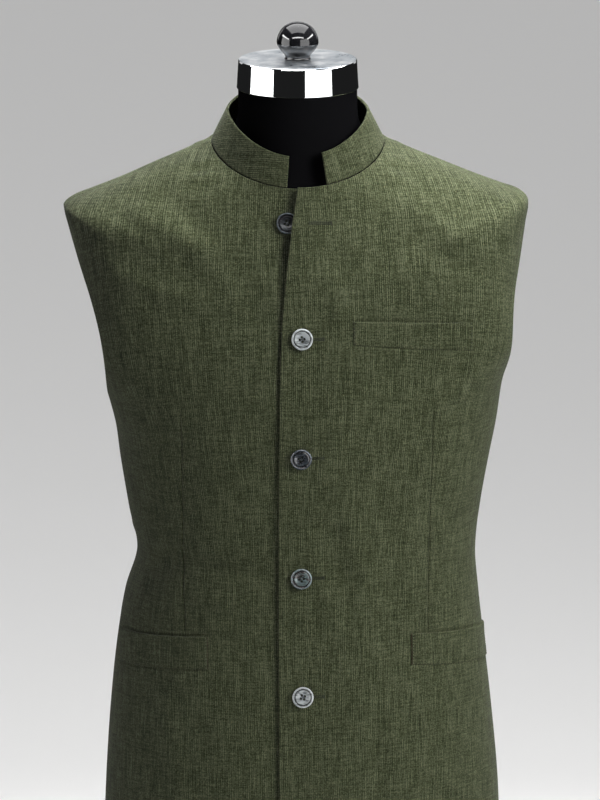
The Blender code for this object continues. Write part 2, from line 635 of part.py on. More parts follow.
def add_stand():
    """The round base, the short pole between its two flanges, the neck cap and the knob."""
    stand = bpy.data.objects.new("stand_axis", None)
    bpy.context.scene.collection.objects.link(stand)
    base = [
        (BASE_RADIUS - BASE_EDGE / 2, 0.0),
        (BASE_RADIUS, BASE_EDGE / 2),
        (BASE_RADIUS, BASE_HEIGHT - BASE_EDGE),
        (BASE_RADIUS - BASE_EDGE, BASE_HEIGHT),
    ]
    add_turned("base", base, 0.0, BASE_HEIGHT, "painted_black", stand)
    low_flange = [(FLANGE_RADIUS, 0.0), (FLANGE_RADIUS, FLANGE_RIM), (POLE_RADIUS, FLANGE_HEIGHT)]
    high_flange = [(radius, FLANGE_HEIGHT - height) for radius, height in reversed(low_flange)]
    low_foot = BASE_HEIGHT + TOUCH_GAP
    high_foot = BASE_HEIGHT + POLE_HEIGHT - TOUCH_GAP - FLANGE_HEIGHT
    pole_foot = low_foot + FLANGE_HEIGHT + TOUCH_GAP
    length = high_foot - TOUCH_GAP - pole_foot
    pole = [(POLE_RADIUS, 0.0), (POLE_RADIUS, length)]
    add_turned("flange_low", low_flange, low_foot, FLANGE_HEIGHT, "chrome", stand, SMALL_ROUND_SIDES)
    add_turned("pole", pole, pole_foot, length, "chrome", stand, SMALL_ROUND_SIDES)
    add_turned("flange_high", high_flange, high_foot, FLANGE_HEIGHT, "chrome", stand, SMALL_ROUND_SIDES)
    cap_foot = SHOULDER_HEIGHT - FORM_RINGS[-1].drop_side * MM + TOUCH_GAP
    cap = [(radius * MM, height * MM) for radius, height in CAP_PROFILE]
    add_turned("neck_cap", cap, cap_foot, CAP_HEIGHT_MM * MM, "chrome", stand)
    knob = [(radius * MM, height * MM) for radius, height in KNOB_PROFILE]
    knob_foot = cap_foot + CAP_HEIGHT_MM * MM + TOUCH_GAP
    add_turned("knob", knob, knob_foot, KNOB_TOP_MM * MM, "gloss_black", stand, SMALL_ROUND_SIDES)


def build_all():
    clear_scene()
    add_fronts_and_backs()
    add_collar()
    add_welts()
    add_buttons()
    add_form()
    add_stand()
    bpy.context.view_layer.update()


build_all()
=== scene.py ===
# %% [markdown]
# # A sleeveless linen jacket with a stand collar, on its dress form
# The jacket is buttoned over a black form with a chrome neck cap. The fixed model gives every piece its
# place and size in metres. This script makes what the eye sees: fine cloth in place of the model's plain
# walls, weave, creases, sewing, pearl buttons and polished metal.

# %% Load the fixed model
import math
from collections import namedtuple

import bpy
import numpy as np
from mathutils import Matrix, Vector


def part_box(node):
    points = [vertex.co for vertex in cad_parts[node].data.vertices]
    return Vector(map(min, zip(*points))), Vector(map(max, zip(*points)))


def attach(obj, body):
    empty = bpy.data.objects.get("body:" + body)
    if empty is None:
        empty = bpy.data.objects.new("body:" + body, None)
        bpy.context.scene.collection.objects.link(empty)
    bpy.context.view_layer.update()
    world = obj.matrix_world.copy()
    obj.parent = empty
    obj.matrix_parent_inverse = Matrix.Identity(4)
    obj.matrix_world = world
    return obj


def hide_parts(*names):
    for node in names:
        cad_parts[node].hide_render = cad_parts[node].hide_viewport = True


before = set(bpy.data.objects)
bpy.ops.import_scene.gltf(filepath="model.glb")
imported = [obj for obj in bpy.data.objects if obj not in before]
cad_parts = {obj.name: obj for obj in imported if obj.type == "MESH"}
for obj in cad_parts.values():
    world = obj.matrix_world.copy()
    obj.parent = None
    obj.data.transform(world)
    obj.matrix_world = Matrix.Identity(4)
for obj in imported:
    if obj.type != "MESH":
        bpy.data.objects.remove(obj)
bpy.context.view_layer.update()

# %% [markdown]
# The camera stands seven metres off with a long lens, a little above the jacket and a little to the
# viewer's left, as the photograph was taken. It looks at a place level with the second button. The
# picture is taken to be 600 by 800, so the lens is worked out from its taller side.

# %% Camera
MM = 0.001
CAMERA_TARGET = Vector((0.0022, 0.0, 0.612))
CAMERA_DISTANCE = 7.0
CAMERA_AZIMUTH = math.radians(-2.3)
CAMERA_ELEVATION = math.radians(13.0)
PIXEL_SIZE = 0.94 * MM
PICTURE_HEIGHT = 800
SENSOR_MM = 36.0

camera_back = Vector((
    math.sin(CAMERA_AZIMUTH) * math.cos(CAMERA_ELEVATION),
    -math.cos(CAMERA_AZIMUTH) * math.cos(CAMERA_ELEVATION),
    math.sin(CAMERA_ELEVATION),
))
camera_data = bpy.data.cameras.new("camera")
camera_data.sensor_width = SENSOR_MM
camera_data.lens = SENSOR_MM * CAMERA_DISTANCE / (PIXEL_SIZE * PICTURE_HEIGHT)
camera_data.clip_end = 100.0
camera = bpy.data.objects.new("camera", camera_data)
bpy.context.scene.collection.objects.link(camera)
camera.location = CAMERA_TARGET + camera_back * CAMERA_DISTANCE
camera.rotation_euler = camera_back.to_track_quat("Z", "Y").to_euler()
bpy.context.scene.camera = camera
print("lens in mm", round(camera_data.lens, 1))

# %% [markdown]
# A jacket could be modelled by pushing points about, but its shape follows a rule: rings run round the
# body, one above the other, and each is a rounded oval. So a table holds a row for each ring and a smooth
# curve runs through the rows, which gives a surface that can be read as finely as the cloth needs. Tables
# are in millimetres. A drop is measured down from the shoulder beside the neck, and left and right are
# the viewer's.

# %% The jacket's rings
def named(columns, rows):
    """The rows of a table as records whose fields are its columns."""
    Row = namedtuple("Row", columns)
    return [Row(*row) for row in rows]


RING_COLUMNS = """place level drop_left drop_right drop_front drop_back
half_left half_right y_side y_front y_back round_front round_back tilt"""
RINGS = named(RING_COLUMNS, (
    ("hem", 0, 700, 700, 700, 700, 185, 193, 0, -122, 118, 2.3, 2.3, 2.0),
    ("skirt", 85, 615, 615, 615, 615, 182, 190, 0, -120, 120, 2.3, 2.3, 2.0),
    ("hip", 160, 540, 540, 540, 540, 177, 183, 0, -118, 119, 2.3, 2.3, 2.0),
    ("pocket", 225, 475, 475, 475, 475, 170, 175.5, 0, -115, 108, 2.3, 2.3, 2.0),
    ("below_waist", 270, 430, 430, 430, 430, 162.5, 170.5, 0, -113, 97, 2.3, 2.3, 2.0),
    ("waist", 308, 392, 392, 392, 392, 151.5, 167.5, 0, -112, 92, 2.3, 2.3, 2.0),
    ("above_waist", 350, 350, 350, 350, 350, 159, 171.5, 0, -114, 95, 2.35, 2.3, 2.0),
    ("ribs", 400, 300, 300, 300, 300, 167, 180, 1, -119, 104, 2.4, 2.4, 2.0),
    ("chest", 433, 267, 263, 267, 267, 171.5, 187, 2, -122.5, 111, 2.45, 2.45, 2.0),
    ("underarm", 458, 242, 228, 241, 240, 178, 192, 4, -124, 115, 2.5, 2.5, 2.0),
    ("arm_low", 511, 190, 180, 195, 186, 195.5, 210, 4, -121, 118, 2.5, 2.5, 2.0),
    ("arm_high", 576, 125, 122, 150, 131, 206, 210, 3, -112, 115, 2.45, 2.45, 2.0),
    ("tip_low", 624, 80, 76, 121, 104, 214.5, 213.5, 2, -104, 110, 2.35, 2.35, 2.0),
    ("tip_under", 639, 65.5, 62.5, 111, 90, 218, 215.8, 2, -100.8, 106.8, 2.3, 2.3, 2.0),
    ("tip", 643, 61.5, 58.8, 109, 87, 218.6, 215.7, 2, -100, 106, 2.3, 2.3, 2.0),
    ("tip_over", 647, 58.8, 55.8, 107, 84, 216.6, 213.9, 1.6, -99, 105.3, 2.3, 2.3, 2.0),
    ("tip_top", 654, 55.3, 52.3, 103, 80, 211.6, 209.7, 1, -97.5, 104, 2.3, 2.3, 2.0),
    ("shoulder_end", 676, 48, 46.2, 92, 71, 194.5, 194.5, 0.5, -93.5, 101.5, 2.25, 2.25, 1.9),
    ("shoulder_outer", 699, 39, 37.5, 80, 61, 172, 172, 0, -89, 98, 2.2, 2.2, 1.8),
    ("shoulder_inner", 749, 18, 18, 56, 35, 126, 126, -1, -79.5, 86, 2.1, 2.1, 1.5),
    ("neckline", 798, 0, 0, 33, -8, 81, 81, -2, -71, 66, 2.0, 2.0, 1.2),
))
COLLAR_RINGS = RINGS[-1:] + named(RING_COLUMNS, (
    ("collar_top", 830, -29, -29, 4.5, -46, 66.2, 66.2, 0, -64, 62, 2.0, 2.0, 1.5),
))
CAP_ABOVE_SHOULDER = 48.6 * MM
SHOULDER_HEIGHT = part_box("neck_cap")[0].z - CAP_ABOVE_SHOULDER
NECKLINE = float(RINGS[-1].level)
print("shoulder height", round(SHOULDER_HEIGHT, 4), "rings", len(RINGS))

# %% [markdown]
# A ring is read at an angle round the body and at a level up it. Points go into metres only at the very
# end, and the way out of the cloth is found from the points beside a place, so it also works where the
# rings tilt.

# %% Reading a surface from the rings
def metres(points):
    """Turns (x, y, drop) in millimetres into (x, y, z) in metres."""
    out = np.asarray(points, float) * MM
    out[..., 2] = SHOULDER_HEIGHT - out[..., 2]
    return out


def smooth_step(value, start, stop):
    """1 up to start, 0 from stop on, and an even curve between."""
    part = np.clip((np.asarray(value, float) - start) / (stop - start), 0.0, 1.0)
    return 1.0 - part * part * (3.0 - 2.0 * part)


def ring_at(rows, level):
    """Every column of a table of rings at a level, on a smooth curve through its rows."""
    table = np.array([row[1:] for row in rows], float)
    knots = table[:, 0]
    level = np.asarray(level, float)
    slopes = np.gradient(table, knots, axis=0)
    low = np.clip(np.searchsorted(knots, level, side="right") - 1, 0, len(knots) - 2)
    width = knots[low + 1] - knots[low]
    part = np.clip((level - knots[low]) / width, 0.0, 1.0)[..., None]
    width = width[..., None]
    values = (2 * part**3 - 3 * part**2 + 1) * table[low]
    values = values + (3 * part**2 - 2 * part**3) * table[low + 1]
    values = values + (part**3 - 2 * part**2 + part) * slopes[low] * width
    values = values + (part**3 - part**2) * slopes[low + 1] * width
    return {name: values[..., index] for index, name in enumerate(rows[0]._fields[1:])}


def ring_shape(angle, half, y_side, y_mid, roundness, drop_side, drop_mid, tilt):
    """(x, y, drop) at an angle of a ring whose half width, depths and drops are given."""
    across = np.abs(np.sin(angle))
    along = np.abs(np.cos(angle))
    x = np.sign(np.sin(angle)) * half * across ** (2.0 / roundness)
    y = y_side + (y_mid - y_side) * along ** (2.0 / roundness)
    drop = drop_side + (drop_mid - drop_side) * along**tilt
    return np.stack([x, y, drop], axis=-1)


def run_along(points):
    """The distance run so far at each point of a line."""
    steps = np.linalg.norm(np.diff(points, axis=0), axis=1)
    return np.concatenate([[0.0], np.cumsum(steps)])


def wrapped(angle):
    """The same angle between half a turn back and half a turn on."""
    return (np.asarray(angle, float) + math.pi) % (2 * math.pi) - math.pi


def jacket_surface(angle, level, rows=RINGS):
    """(x, y, drop) of the plain cloth. Angle 0 is the centre front, a quarter turn the viewer's right side."""
    angle, level = np.broadcast_arrays(wrapped(angle), level)
    ring = ring_at(rows, level)
    right = angle >= 0
    front = np.abs(angle) <= math.pi / 2
    return ring_shape(
        angle,
        np.where(right, ring["half_right"], ring["half_left"]),
        ring["y_side"],
        np.where(front, ring["y_front"], ring["y_back"]),
        np.where(front, ring["round_front"], ring["round_back"]),
        np.where(right, ring["drop_right"], ring["drop_left"]),
        np.where(front, ring["drop_front"], ring["drop_back"]),
        ring["tilt"],
    )


def collar_surface(angle, level):
    return jacket_surface(angle, level, COLLAR_RINGS)


NORMAL_TURN = 0.03
NORMAL_RISE = 1.0
FLIP = np.array([1.0, 1.0, -1.0])


def normals_of(surface, angle, level, lowest, highest):
    """Outward unit normals, as true directions in x, y and z."""
    upper = np.minimum(level + NORMAL_RISE, highest)
    lower = np.maximum(level - NORMAL_RISE, lowest)
    across = surface(angle + NORMAL_TURN, level) - surface(angle - NORMAL_TURN, level)
    up = surface(angle, upper) - surface(angle, lower)
    normal = np.cross(across * FLIP, up * FLIP)
    return normal / np.linalg.norm(normal, axis=-1, keepdims=True)


def moved_out(points, normals, distance):
    """Points moved along their normals; a drop grows downwards, so its part is taken away."""
    return points + normals * np.asarray(distance, float)[..., None] * FLIP


print("waist half width", round(float(jacket_surface(math.pi / 2, 308.0)[0]), 1), "mm")

# %% [markdown]
# Linen is mostly smooth on a form, and where it creases the folds are soft, short and never alike. A
# cloth simulation would put them where it likes, so each fold is placed one by one: where it starts and
# ends, how wide it is and how high it stands. The first table is the large folds, the second the finer
# creases over them. A height below nothing is a trough.

# %% Folds and creases
FOLD_COLUMNS = "x_from drop_from x_to drop_to width height"
FOLDS = {
    "front": named(FOLD_COLUMNS, (
        (-146, 62, -92, 88, 13, 3.0), (-152, 88, -98, 112, 16, -1.6), (-126, 42, -100, 60, 12, -1.2),
        (92, 48, 138, 78, 15, 1.8), (108, 82, 150, 104, 15, -1.2), (46, 346, 66, 412, 13, 2.6),
        (28, 350, 44, 418, 12, -2.0), (60, 462, 78, 520, 15, 2.0), (92, 330, 104, 372, 13, 1.6),
        (-128, 386, -52, 391, 9, -1.8), (-122, 412, -60, 420, 10, 1.6), (-146, 250, -140, 300, 14, 1.8),
        (-58, 540, -50, 640, 18, 1.6), (96, 560, 108, 650, 18, 1.8),
    )),
    "back": named(FOLD_COLUMNS, (
        (-88, 366, 78, 374, 13, 2.6), (-66, 398, 84, 404, 12, -2.4), (-96, 428, 52, 436, 13, 2.0),
        (66, 150, 138, 222, 18, 2.2), (-72, 140, -144, 232, 18, 2.6), (58, 500, 74, 610, 20, 2.2),
        (-84, 520, -96, 640, 20, 2.0),
    )),
}
CREASES = {
    "front": named(FOLD_COLUMNS, (
        (-96, 17, -84, 14, 3.0, 0.55), (-101, 23, -86, 21, 2.6, -0.5), (-98, 29, -82, 26, 3.2, 0.6),
        (-94, 37, -79, 31, 2.8, -0.45), (-86, 44, -73, 36, 3.4, 0.5), (97, 16, 85, 14, 3.0, 0.5),
        (103, 24, 87, 20, 3.0, -0.5), (99, 31, 83, 26, 3.4, 0.55), (92, 40, 78, 32, 3.0, -0.4),
        (-168, 70, -120, 98, 7, 0.7), (-178, 92, -132, 118, 8, -0.7), (-150, 120, -104, 131, 9, 0.7),
        (-140, 140, -92, 152, 8, -0.5), (118, 60, 168, 92, 8, 0.6), (132, 98, 176, 116, 7, -0.6),
        (34, 96, 52, 138, 9, -0.6), (24, 104, 31, 150, 6, 0.5), (-60, 96, -34, 150, 11, -0.7),
        (-44, 180, -30, 236, 9, 0.5), (-154, 214, -112, 246, 8, 0.7), (-160, 240, -122, 262, 7, -0.6),
        (160, 206, 118, 238, 8, 0.7), (150, 236, 112, 252, 7, -0.5), (60, 330, 82, 372, 7, 0.6),
        (34, 372, 60, 396, 6, 0.6), (52, 398, 88, 424, 7, -0.6), (18, 404, 40, 452, 7, 0.6),
        (74, 436, 62, 482, 8, -0.5), (44, 488, 60, 548, 8, 0.6), (-134, 366, -80, 372, 5, 0.6),
        (-118, 398, -62, 403, 5, 0.6), (-110, 428, -58, 436, 6, -0.5), (-148, 330, -118, 352, 7, -0.6),
        (132, 342, 160, 358, 7, -0.6), (128, 372, 158, 384, 6, 0.6), (126, 400, 156, 404, 6, -0.5),
        (-64, 520, -54, 610, 9, -0.6), (-128, 520, -118, 600, 10, 0.7), (66, 540, 74, 626, 10, -0.7),
        (138, 530, 142, 640, 12, 0.8),
    )),
    "back": named(FOLD_COLUMNS, (
        (-94, 8, -84, 10, 3.0, 0.5), (-98, 2, -84, 3, 3.2, -0.45), (94, 9, 84, 11, 3.0, 0.5),
        (99, 1, 85, 2, 3.2, -0.45), (-58, 10, -48, 4, 3.4, 0.4), (52, 9, 43, 3, 3.2, 0.4),
        (92, 60, 156, 104, 11, 0.9), (-104, 66, -160, 98, 10, -0.8), (-60, 96, -134, 178, 9, -0.8),
        (40, 110, 118, 182, 10, -0.7), (-30, 196, 24, 206, 12, -0.6), (-118, 236, -152, 272, 8, 0.8),
        (112, 232, 150, 262, 8, 0.7), (-70, 340, 20, 346, 6, -0.8), (10, 384, 104, 388, 6, 0.8),
        (-110, 382, -30, 389, 6, 0.7), (-30, 416, 60, 420, 6, 0.7), (38, 446, 104, 452, 8, -0.7),
        (-128, 344, -152, 368, 7, 0.7), (128, 350, 150, 372, 7, -0.7), (26, 520, 34, 626, 11, -0.7),
        (-40, 540, -46, 660, 12, 0.8), (112, 540, 120, 640, 12, 0.7), (-136, 520, -146, 630, 12, -0.7),
    )),
}


def fold_height(points, front, table):
    """How far the folds of a table lift the cloth at each place."""
    lift = np.zeros(points.shape[:-1])
    for panel, folds in table.items():
        on_panel = front == (panel == "front")
        for fold in folds:
            start = np.array([fold.x_from, fold.drop_from], float)
            run = np.array([fold.x_to, fold.drop_to], float) - start
            place = points[..., [0, 2]] - start
            part = np.clip(place @ run / (run @ run), 0.0, 1.0)
            away = np.linalg.norm(place - part[..., None] * run, axis=-1)
            lift += np.where(on_panel, fold.height * np.exp(-((away / fold.width) ** 2)), 0.0)
    return lift


print("large folds", {panel: len(folds) for panel, folds in FOLDS.items()})
print("fine creases", {panel: len(folds) for panel, folds in CREASES.items()})

# %% [markdown]
# Each front has one waist dart, a pinch of cloth sewn away on the inside. From outside it is a fine
# vertical groove with the cloth drawn in a little on both sides, so it is a narrow trough inside a wide
# shallow one.

# %% Darts
DARTS = named("side x_top drop_top x_foot drop_foot", (
    (-1, -113.0, 228.0, -109.5, 448.0),
    (1, 122.0, 226.0, 118.5, 449.0),
))
DART_GROOVE = (1.25, 0.7)
DART_RIDGE = (-0.45, 2.1)
DART_DRAW_IN = (0.7, 9.0)


def dart_height(points):
    """How far the darts draw the cloth in, as a height below nothing."""
    lift = np.zeros(points.shape[:-1])
    for dart in DARTS:
        x = np.interp(points[..., 2], (dart.drop_top, dart.drop_foot), (dart.x_top, dart.x_foot))
        ends = 1.0 - smooth_step(points[..., 2], dart.drop_top - 6, dart.drop_top + 30)
        ends = ends * smooth_step(points[..., 2], dart.drop_foot, dart.drop_foot + 4)
        away = points[..., 0] - x
        for depth, width in (DART_GROOVE, DART_RIDGE, DART_DRAW_IN):
            lift -= depth * np.exp(-((away / width) ** 2)) * ends
    return lift


# %% [markdown]
# Pockets and buttons are measured round the cloth, as a tailor's tape would, not straight across. So a
# place on a front is a run from the centre front and a drop from the shoulder point.

# %% Places on the fronts
QUARTER_SAMPLES = 91
RING_SAMPLES = 241
WELTS = named("name panel in_run out_run in_top in_bottom out_top out_bottom offset", (
    ("welt_breast", "front_left", 46.5, 162.0, 150.8, 171.8, 156.0, 182.0, (0.31, 0.93)),
    ("welt_left", "front_left", 103.8, 229.0, 452.1, 481.5, 463.5, 496.0, (0.52, 0.94)),
    ("welt_right", "front_right", -88.6, -216.5, 452.3, 483.0, 463.0, 493.0, (0.11, 0.96)),
))
front_tables = {}


def front_samples(side):
    if side not in front_tables:
        angles = side * np.linspace(0.0, math.pi / 2, QUARTER_SAMPLES)
        levels = np.linspace(0.0, NECKLINE, RING_SAMPLES)
        front_tables[side] = (angles, levels, jacket_surface(angles[:, None], levels[None, :])[..., 2])
    return front_tables[side]


def front_place(run, drop):
    """(angle, level) of the place that lies run millimetres round from the centre front, at a drop."""
    angles, levels, drops = front_samples(1 if run >= 0 else -1)
    here = np.array([np.interp(-drop, -row, levels) for row in drops])
    measured = run_along(jacket_surface(angles, here))
    return np.interp(abs(run), measured, angles), np.interp(abs(run), measured, here)


def on_front(runs, drops, over, lift=0.0):
    """(points, normals) on a front's finished surface, at runs and drops, lifted by some millimetres."""
    runs, drops, lift = np.broadcast_arrays(runs, drops, lift)
    places = np.array([front_place(*place) for place in zip(runs.ravel(), drops.ravel())])
    angle, level = places.T.reshape(2, *runs.shape)
    points, normals = cloth_surface(angle, level, over)
    return moved_out(points, normals, lift), normals


# %% [markdown]
# The cloth sinks a little at each pocket's mouth, just above the welt, where the opening has been cut.
# The line of each mouth is worked out from the welt's top edge.

# %% Pocket mouths
WELT_LINES = named("edge beside depth width", (
    ("top", 0.9, 0.95, 1.1),
    ("bottom", -0.7, 0.6, 0.9),
))
sunk_lines = []
for welt in WELTS:
    for line in WELT_LINES:
        part = np.linspace(0.0, 1.0, 14)
        start = getattr(welt, "in_" + line.edge)
        drops = start + (getattr(welt, "out_" + line.edge) - start) * part
        runs = welt.in_run + (welt.out_run - welt.in_run) * part
        spots = np.array([jacket_surface(*front_place(*spot)) for spot in zip(runs, drops)])
        order = np.argsort(spots[:, 0])
        sunk_lines.append((spots[order, 0], spots[order, 2] - line.beside, line.depth, line.width))


def mouth_height(points):
    """How far the cloth sinks along the pockets' top and bottom lines, as a height below nothing."""
    lift = np.zeros(points.shape[:-1])
    x = points[..., 0]
    for across, drops, depth, width in sunk_lines:
        away = points[..., 2] - np.interp(x, across, drops)
        starts = 1.0 - smooth_step(x, across[0] - 1.0, across[0] + 4.0)
        stops = smooth_step(x, across[-1] - 4.0, across[-1] + 1.0)
        lift -= depth * np.exp(-((away / width) ** 2)) * starts * stops
    return lift


print("sunk lines", len(sunk_lines))

# %% [markdown]
# The over front lies on the under front, so it stands off the body by one wall. At its top the first
# button is left open underneath, and the front flares a little over it. That same lift carries the
# collar's right end.

# %% The wrap of the over front
FRONT_WALL = 2.4
BACK_WALL = 2.0
COLLAR_WALL = 3.0
UNDER_WRAP_GAP = 0.9
WRAP_FLAT_TO_X = 28.0
WRAP_CLEAR_BY_X = 92.0
OPEN_TOP_LIFT = 4.3
OPEN_TOP_FLAT_TO = (-6.0, 84.0)
OPEN_TOP_CLEAR_BY = (46.0, 152.0)


def wrap_lift(points):
    lift = (FRONT_WALL + UNDER_WRAP_GAP) * smooth_step(points[..., 0], WRAP_FLAT_TO_X, WRAP_CLEAR_BY_X)
    across = smooth_step(points[..., 0], OPEN_TOP_FLAT_TO[0], OPEN_TOP_CLEAR_BY[0])
    down = smooth_step(points[..., 2], OPEN_TOP_FLAT_TO[1], OPEN_TOP_CLEAR_BY[1])
    return lift + OPEN_TOP_LIFT * across * down


UNDERARM = 458.0
TIP = 643.0
CREASE_DEPTH = 1.45
ARMHOLE_FLARE = 13.0
ARMHOLE_FLARE_FROM_Y = -118.0
ARMHOLE_FLARE_TO_Y = -58.0


def flared_surface(angle, level):
    """The jacket's surface with its front brought forward beside the armhole, where a chest lies flat."""
    points = jacket_surface(angle, level)
    front = np.abs(wrapped(angle)) <= math.pi / 2
    part = np.clip((np.asarray(level, float) - UNDERARM + 30.0) / (TIP - UNDERARM + 30.0), 0.0, 1.0)
    near_arm = 1.0 - smooth_step(points[..., 1], ARMHOLE_FLARE_FROM_Y, ARMHOLE_FLARE_TO_Y)
    beyond = smooth_step(points[..., 1], ARMHOLE_FLARE_TO_Y, 0.0)
    flare = ARMHOLE_FLARE * np.sin(math.pi * part) * near_arm * beyond * front
    return points - flare[..., None] * np.array([0.0, 1.0, 0.0])


def cloth_surface(angle, level, over=False, creased=True):
    """(points, normals) of the cloth's outer face."""
    points = flared_surface(angle, level)
    normals = normals_of(flared_surface, angle, level, 0.0, NECKLINE)
    front = np.abs(wrapped(angle)) <= math.pi / 2
    lift = fold_height(points, front, FOLDS)
    if creased:
        lift = lift + CREASE_DEPTH * fold_height(points, front, CREASES)
        lift = lift + np.where(front, dart_height(points) + mouth_height(points), 0.0)
    if over:
        lift = lift + wrap_lift(points)
    return moved_out(points, normals, lift), normals


# %% [markdown]
# A panel is a net of points: rows go up the cloth and columns run along each row, from one edge to the
# other. Edges need points close together so that they can be rounded, and a dart needs them where its
# groove is. The columns are spaced by distance along the cloth, so that the net stays even.

# %% Where the panels end
ARMHOLE_FRONT_DEPTH = 58.0
ARMHOLE_BACK_DEPTH = 50.0
ARMHOLE_LOW_BEND = 0.64
HALF_SEAM = 0.15
FRONT_EDGES = named("drop over_x under_x", (
    (33, -3.0, 10.0),
    (66, -8.8, 10.5),
    (100, -13.5, 13.0),
    (150, -19.2, 18.5),
    (200, -21.4, 21.5),
    (300, -22.5, 22.5),
    (500, -22.6, 22.5),
    (700, -21.5, 22.5),
))
NET_STEP = 3.0
MOUTH_ROW = 0.9
MOUTH_LEVELS = ((202.0, 219.0), (234.0, 251.0), (521.0, 545.0), (563.0, 581.0))
EDGE_STEPS = np.array([0.0, 0.12, 0.36, 0.75, 1.3, 2.1])
DART_STEPS = np.array([-4.0, -2.0, -1.1, -0.5, 0.0, 0.5, 1.1, 2.0, 4.0])


def angle_of_x(x, level):
    """The angle on the front at which the ring at this level reaches x."""
    ring = ring_at(RINGS, level)
    half = ring["half_right" if x > 0 else "half_left"]
    return math.copysign(math.asin(min(1.0, (abs(x) / half) ** (ring["round_front"] / 2.0))), x)


def angle_of_armhole(level, front):
    """How far from the side, as an angle, the armhole's edge lies at a level."""
    part = (level - UNDERARM) / (TIP - UNDERARM)
    if part <= 0.0 or part >= 1.0:
        return 0.0
    depth = ARMHOLE_FRONT_DEPTH if front else ARMHOLE_BACK_DEPTH
    depth *= math.sin(math.pi * part**ARMHOLE_LOW_BEND)
    ring = ring_at(RINGS, level)
    reach = abs(ring["y_front" if front else "y_back"] - ring["y_side"])
    roundness = ring["round_front" if front else "round_back"]
    return math.asin(min(1.0, (depth / reach) ** (roundness / 2.0)))


def front_edge_x(level, over):
    drop = ring_at(RINGS, level)["drop_front"]
    edges = [row.over_x if over else row.under_x for row in FRONT_EDGES]
    return float(np.interp(drop, [row.drop for row in FRONT_EDGES], edges))


def net_levels(front):
    """The levels of a panel's rows, close together at the hem, the armhole's foot and the neckline."""
    top = NECKLINE - HALF_SEAM
    skirt = np.linspace(EDGE_STEPS[-1], UNDERARM - EDGE_STEPS[-1], int(UNDERARM / NET_STEP))[1:-1]
    armhole = UNDERARM + (TIP - UNDERARM) * np.linspace(0.0, 1.0, int(210 / NET_STEP))[1:] ** 1.35
    shoulder = np.linspace(TIP, top - EDGE_STEPS[-1], int(150 / NET_STEP))[1:-1]
    below_arm = UNDERARM - EDGE_STEPS[::-1]
    levels = np.concatenate([EDGE_STEPS, skirt, below_arm, armhole, shoulder, top - EDGE_STEPS[::-1]])
    for low, high in MOUTH_LEVELS if front else ():
        fine = np.linspace(low, high, int((high - low) / MOUTH_ROW))
        levels = np.concatenate([levels[levels < low - 0.5], fine, levels[levels > high + 0.5]])
    return levels


def spaced(total, marks, counts, gaps):
    """Distances from one edge to the other: close at both edges and round any mark, and even between."""
    start = gaps[0] + EDGE_STEPS
    stop = total - gaps[1] - EDGE_STEPS[::-1]
    clusters = [start] + [mark + DART_STEPS for mark in marks] + [stop]
    pieces = [clusters[0]]
    for before, after, count in zip(clusters, clusters[1:], counts):
        pieces += [np.linspace(before[-1], after[0], count + 2)[1:-1], after]
    return np.concatenate(pieces)


def panel_net(side, front, over):
    """(angles, levels, distances) of one panel's net, from its button edge or centre seam outwards."""
    levels = net_levels(front)
    dart = DARTS[0 if side < 0 else 1]
    share = None
    rows = []
    for level in levels:
        if front:
            start = angle_of_x(front_edge_x(level, over), level)
            stop = side * (math.pi / 2 - angle_of_armhole(level, True))
        else:
            start = side * math.pi
            stop = side * (math.pi / 2 + angle_of_armhole(level, False))
        samples = np.linspace(start, stop, RING_SAMPLES)
        points = jacket_surface(samples, level)
        rows.append((samples, run_along(points), points))
    shares = []
    for samples, run, points in rows if front else ():
        drop = points[:, 2].mean()
        x = np.interp(drop, (dart.drop_top, dart.drop_foot), (dart.x_top, dart.x_foot))
        if dart.drop_top <= drop:
            share = np.interp(abs(x), points[:, 0] * side, run) / run[-1]
        shares.append(share)
    even = 240.0 / NET_STEP
    counts = (int(even * 0.42), int(even * 0.5)) if front else (int(even),)
    gaps = (0.0 if front else HALF_SEAM, HALF_SEAM)
    angles = []
    for index, (samples, run, points) in enumerate(rows):
        marks = (shares[index] * run[-1],) if front else ()
        places = spaced(run[-1], marks, counts, gaps)
        angles.append(np.interp(places, run, samples))
    angles = np.array(angles)
    return angles, np.broadcast_to(levels[:, None], angles.shape)


print("rows in a front", len(net_levels(True)), "and in a back", len(net_levels(False)))

# %% [markdown]
# Real cloth has a rounded edge where it is folded and turned in. Each panel is a closed shell, thin
# against its size. Near a free edge both faces curve together, and near a seam the outer face dips a
# little, which draws the fine dark line of the seam. The distance to an edge is measured to the edge's
# own curve.

# %% Shells with rounded edges
FREE_ROUND = 1.0
SEAM_ROUND = 0.6
NECK_SEAM_ROUND = 1.1
ROUND_SHARE = 0.8


def distance_to_line(points, line):
    """The distance in millimetres from each point to a bent line."""
    best = np.full(points.shape[:-1], 1e9)
    for start, stop in zip(line[:-1], line[1:]):
        run = stop - start
        part = np.clip((points - start) @ run / max(run @ run, 1e-9), 0.0, 1.0)
        away = np.linalg.norm(points - start - part[..., None] * run, axis=-1)
        best = np.minimum(best, away)
    return best


def rolled(distance, radius):
    """How far a face falls away at a distance from an edge of that radius."""
    inside = np.clip(radius - distance, 0.0, radius)
    return np.minimum(radius - np.sqrt(radius**2 - inside**2), ROUND_SHARE * radius)


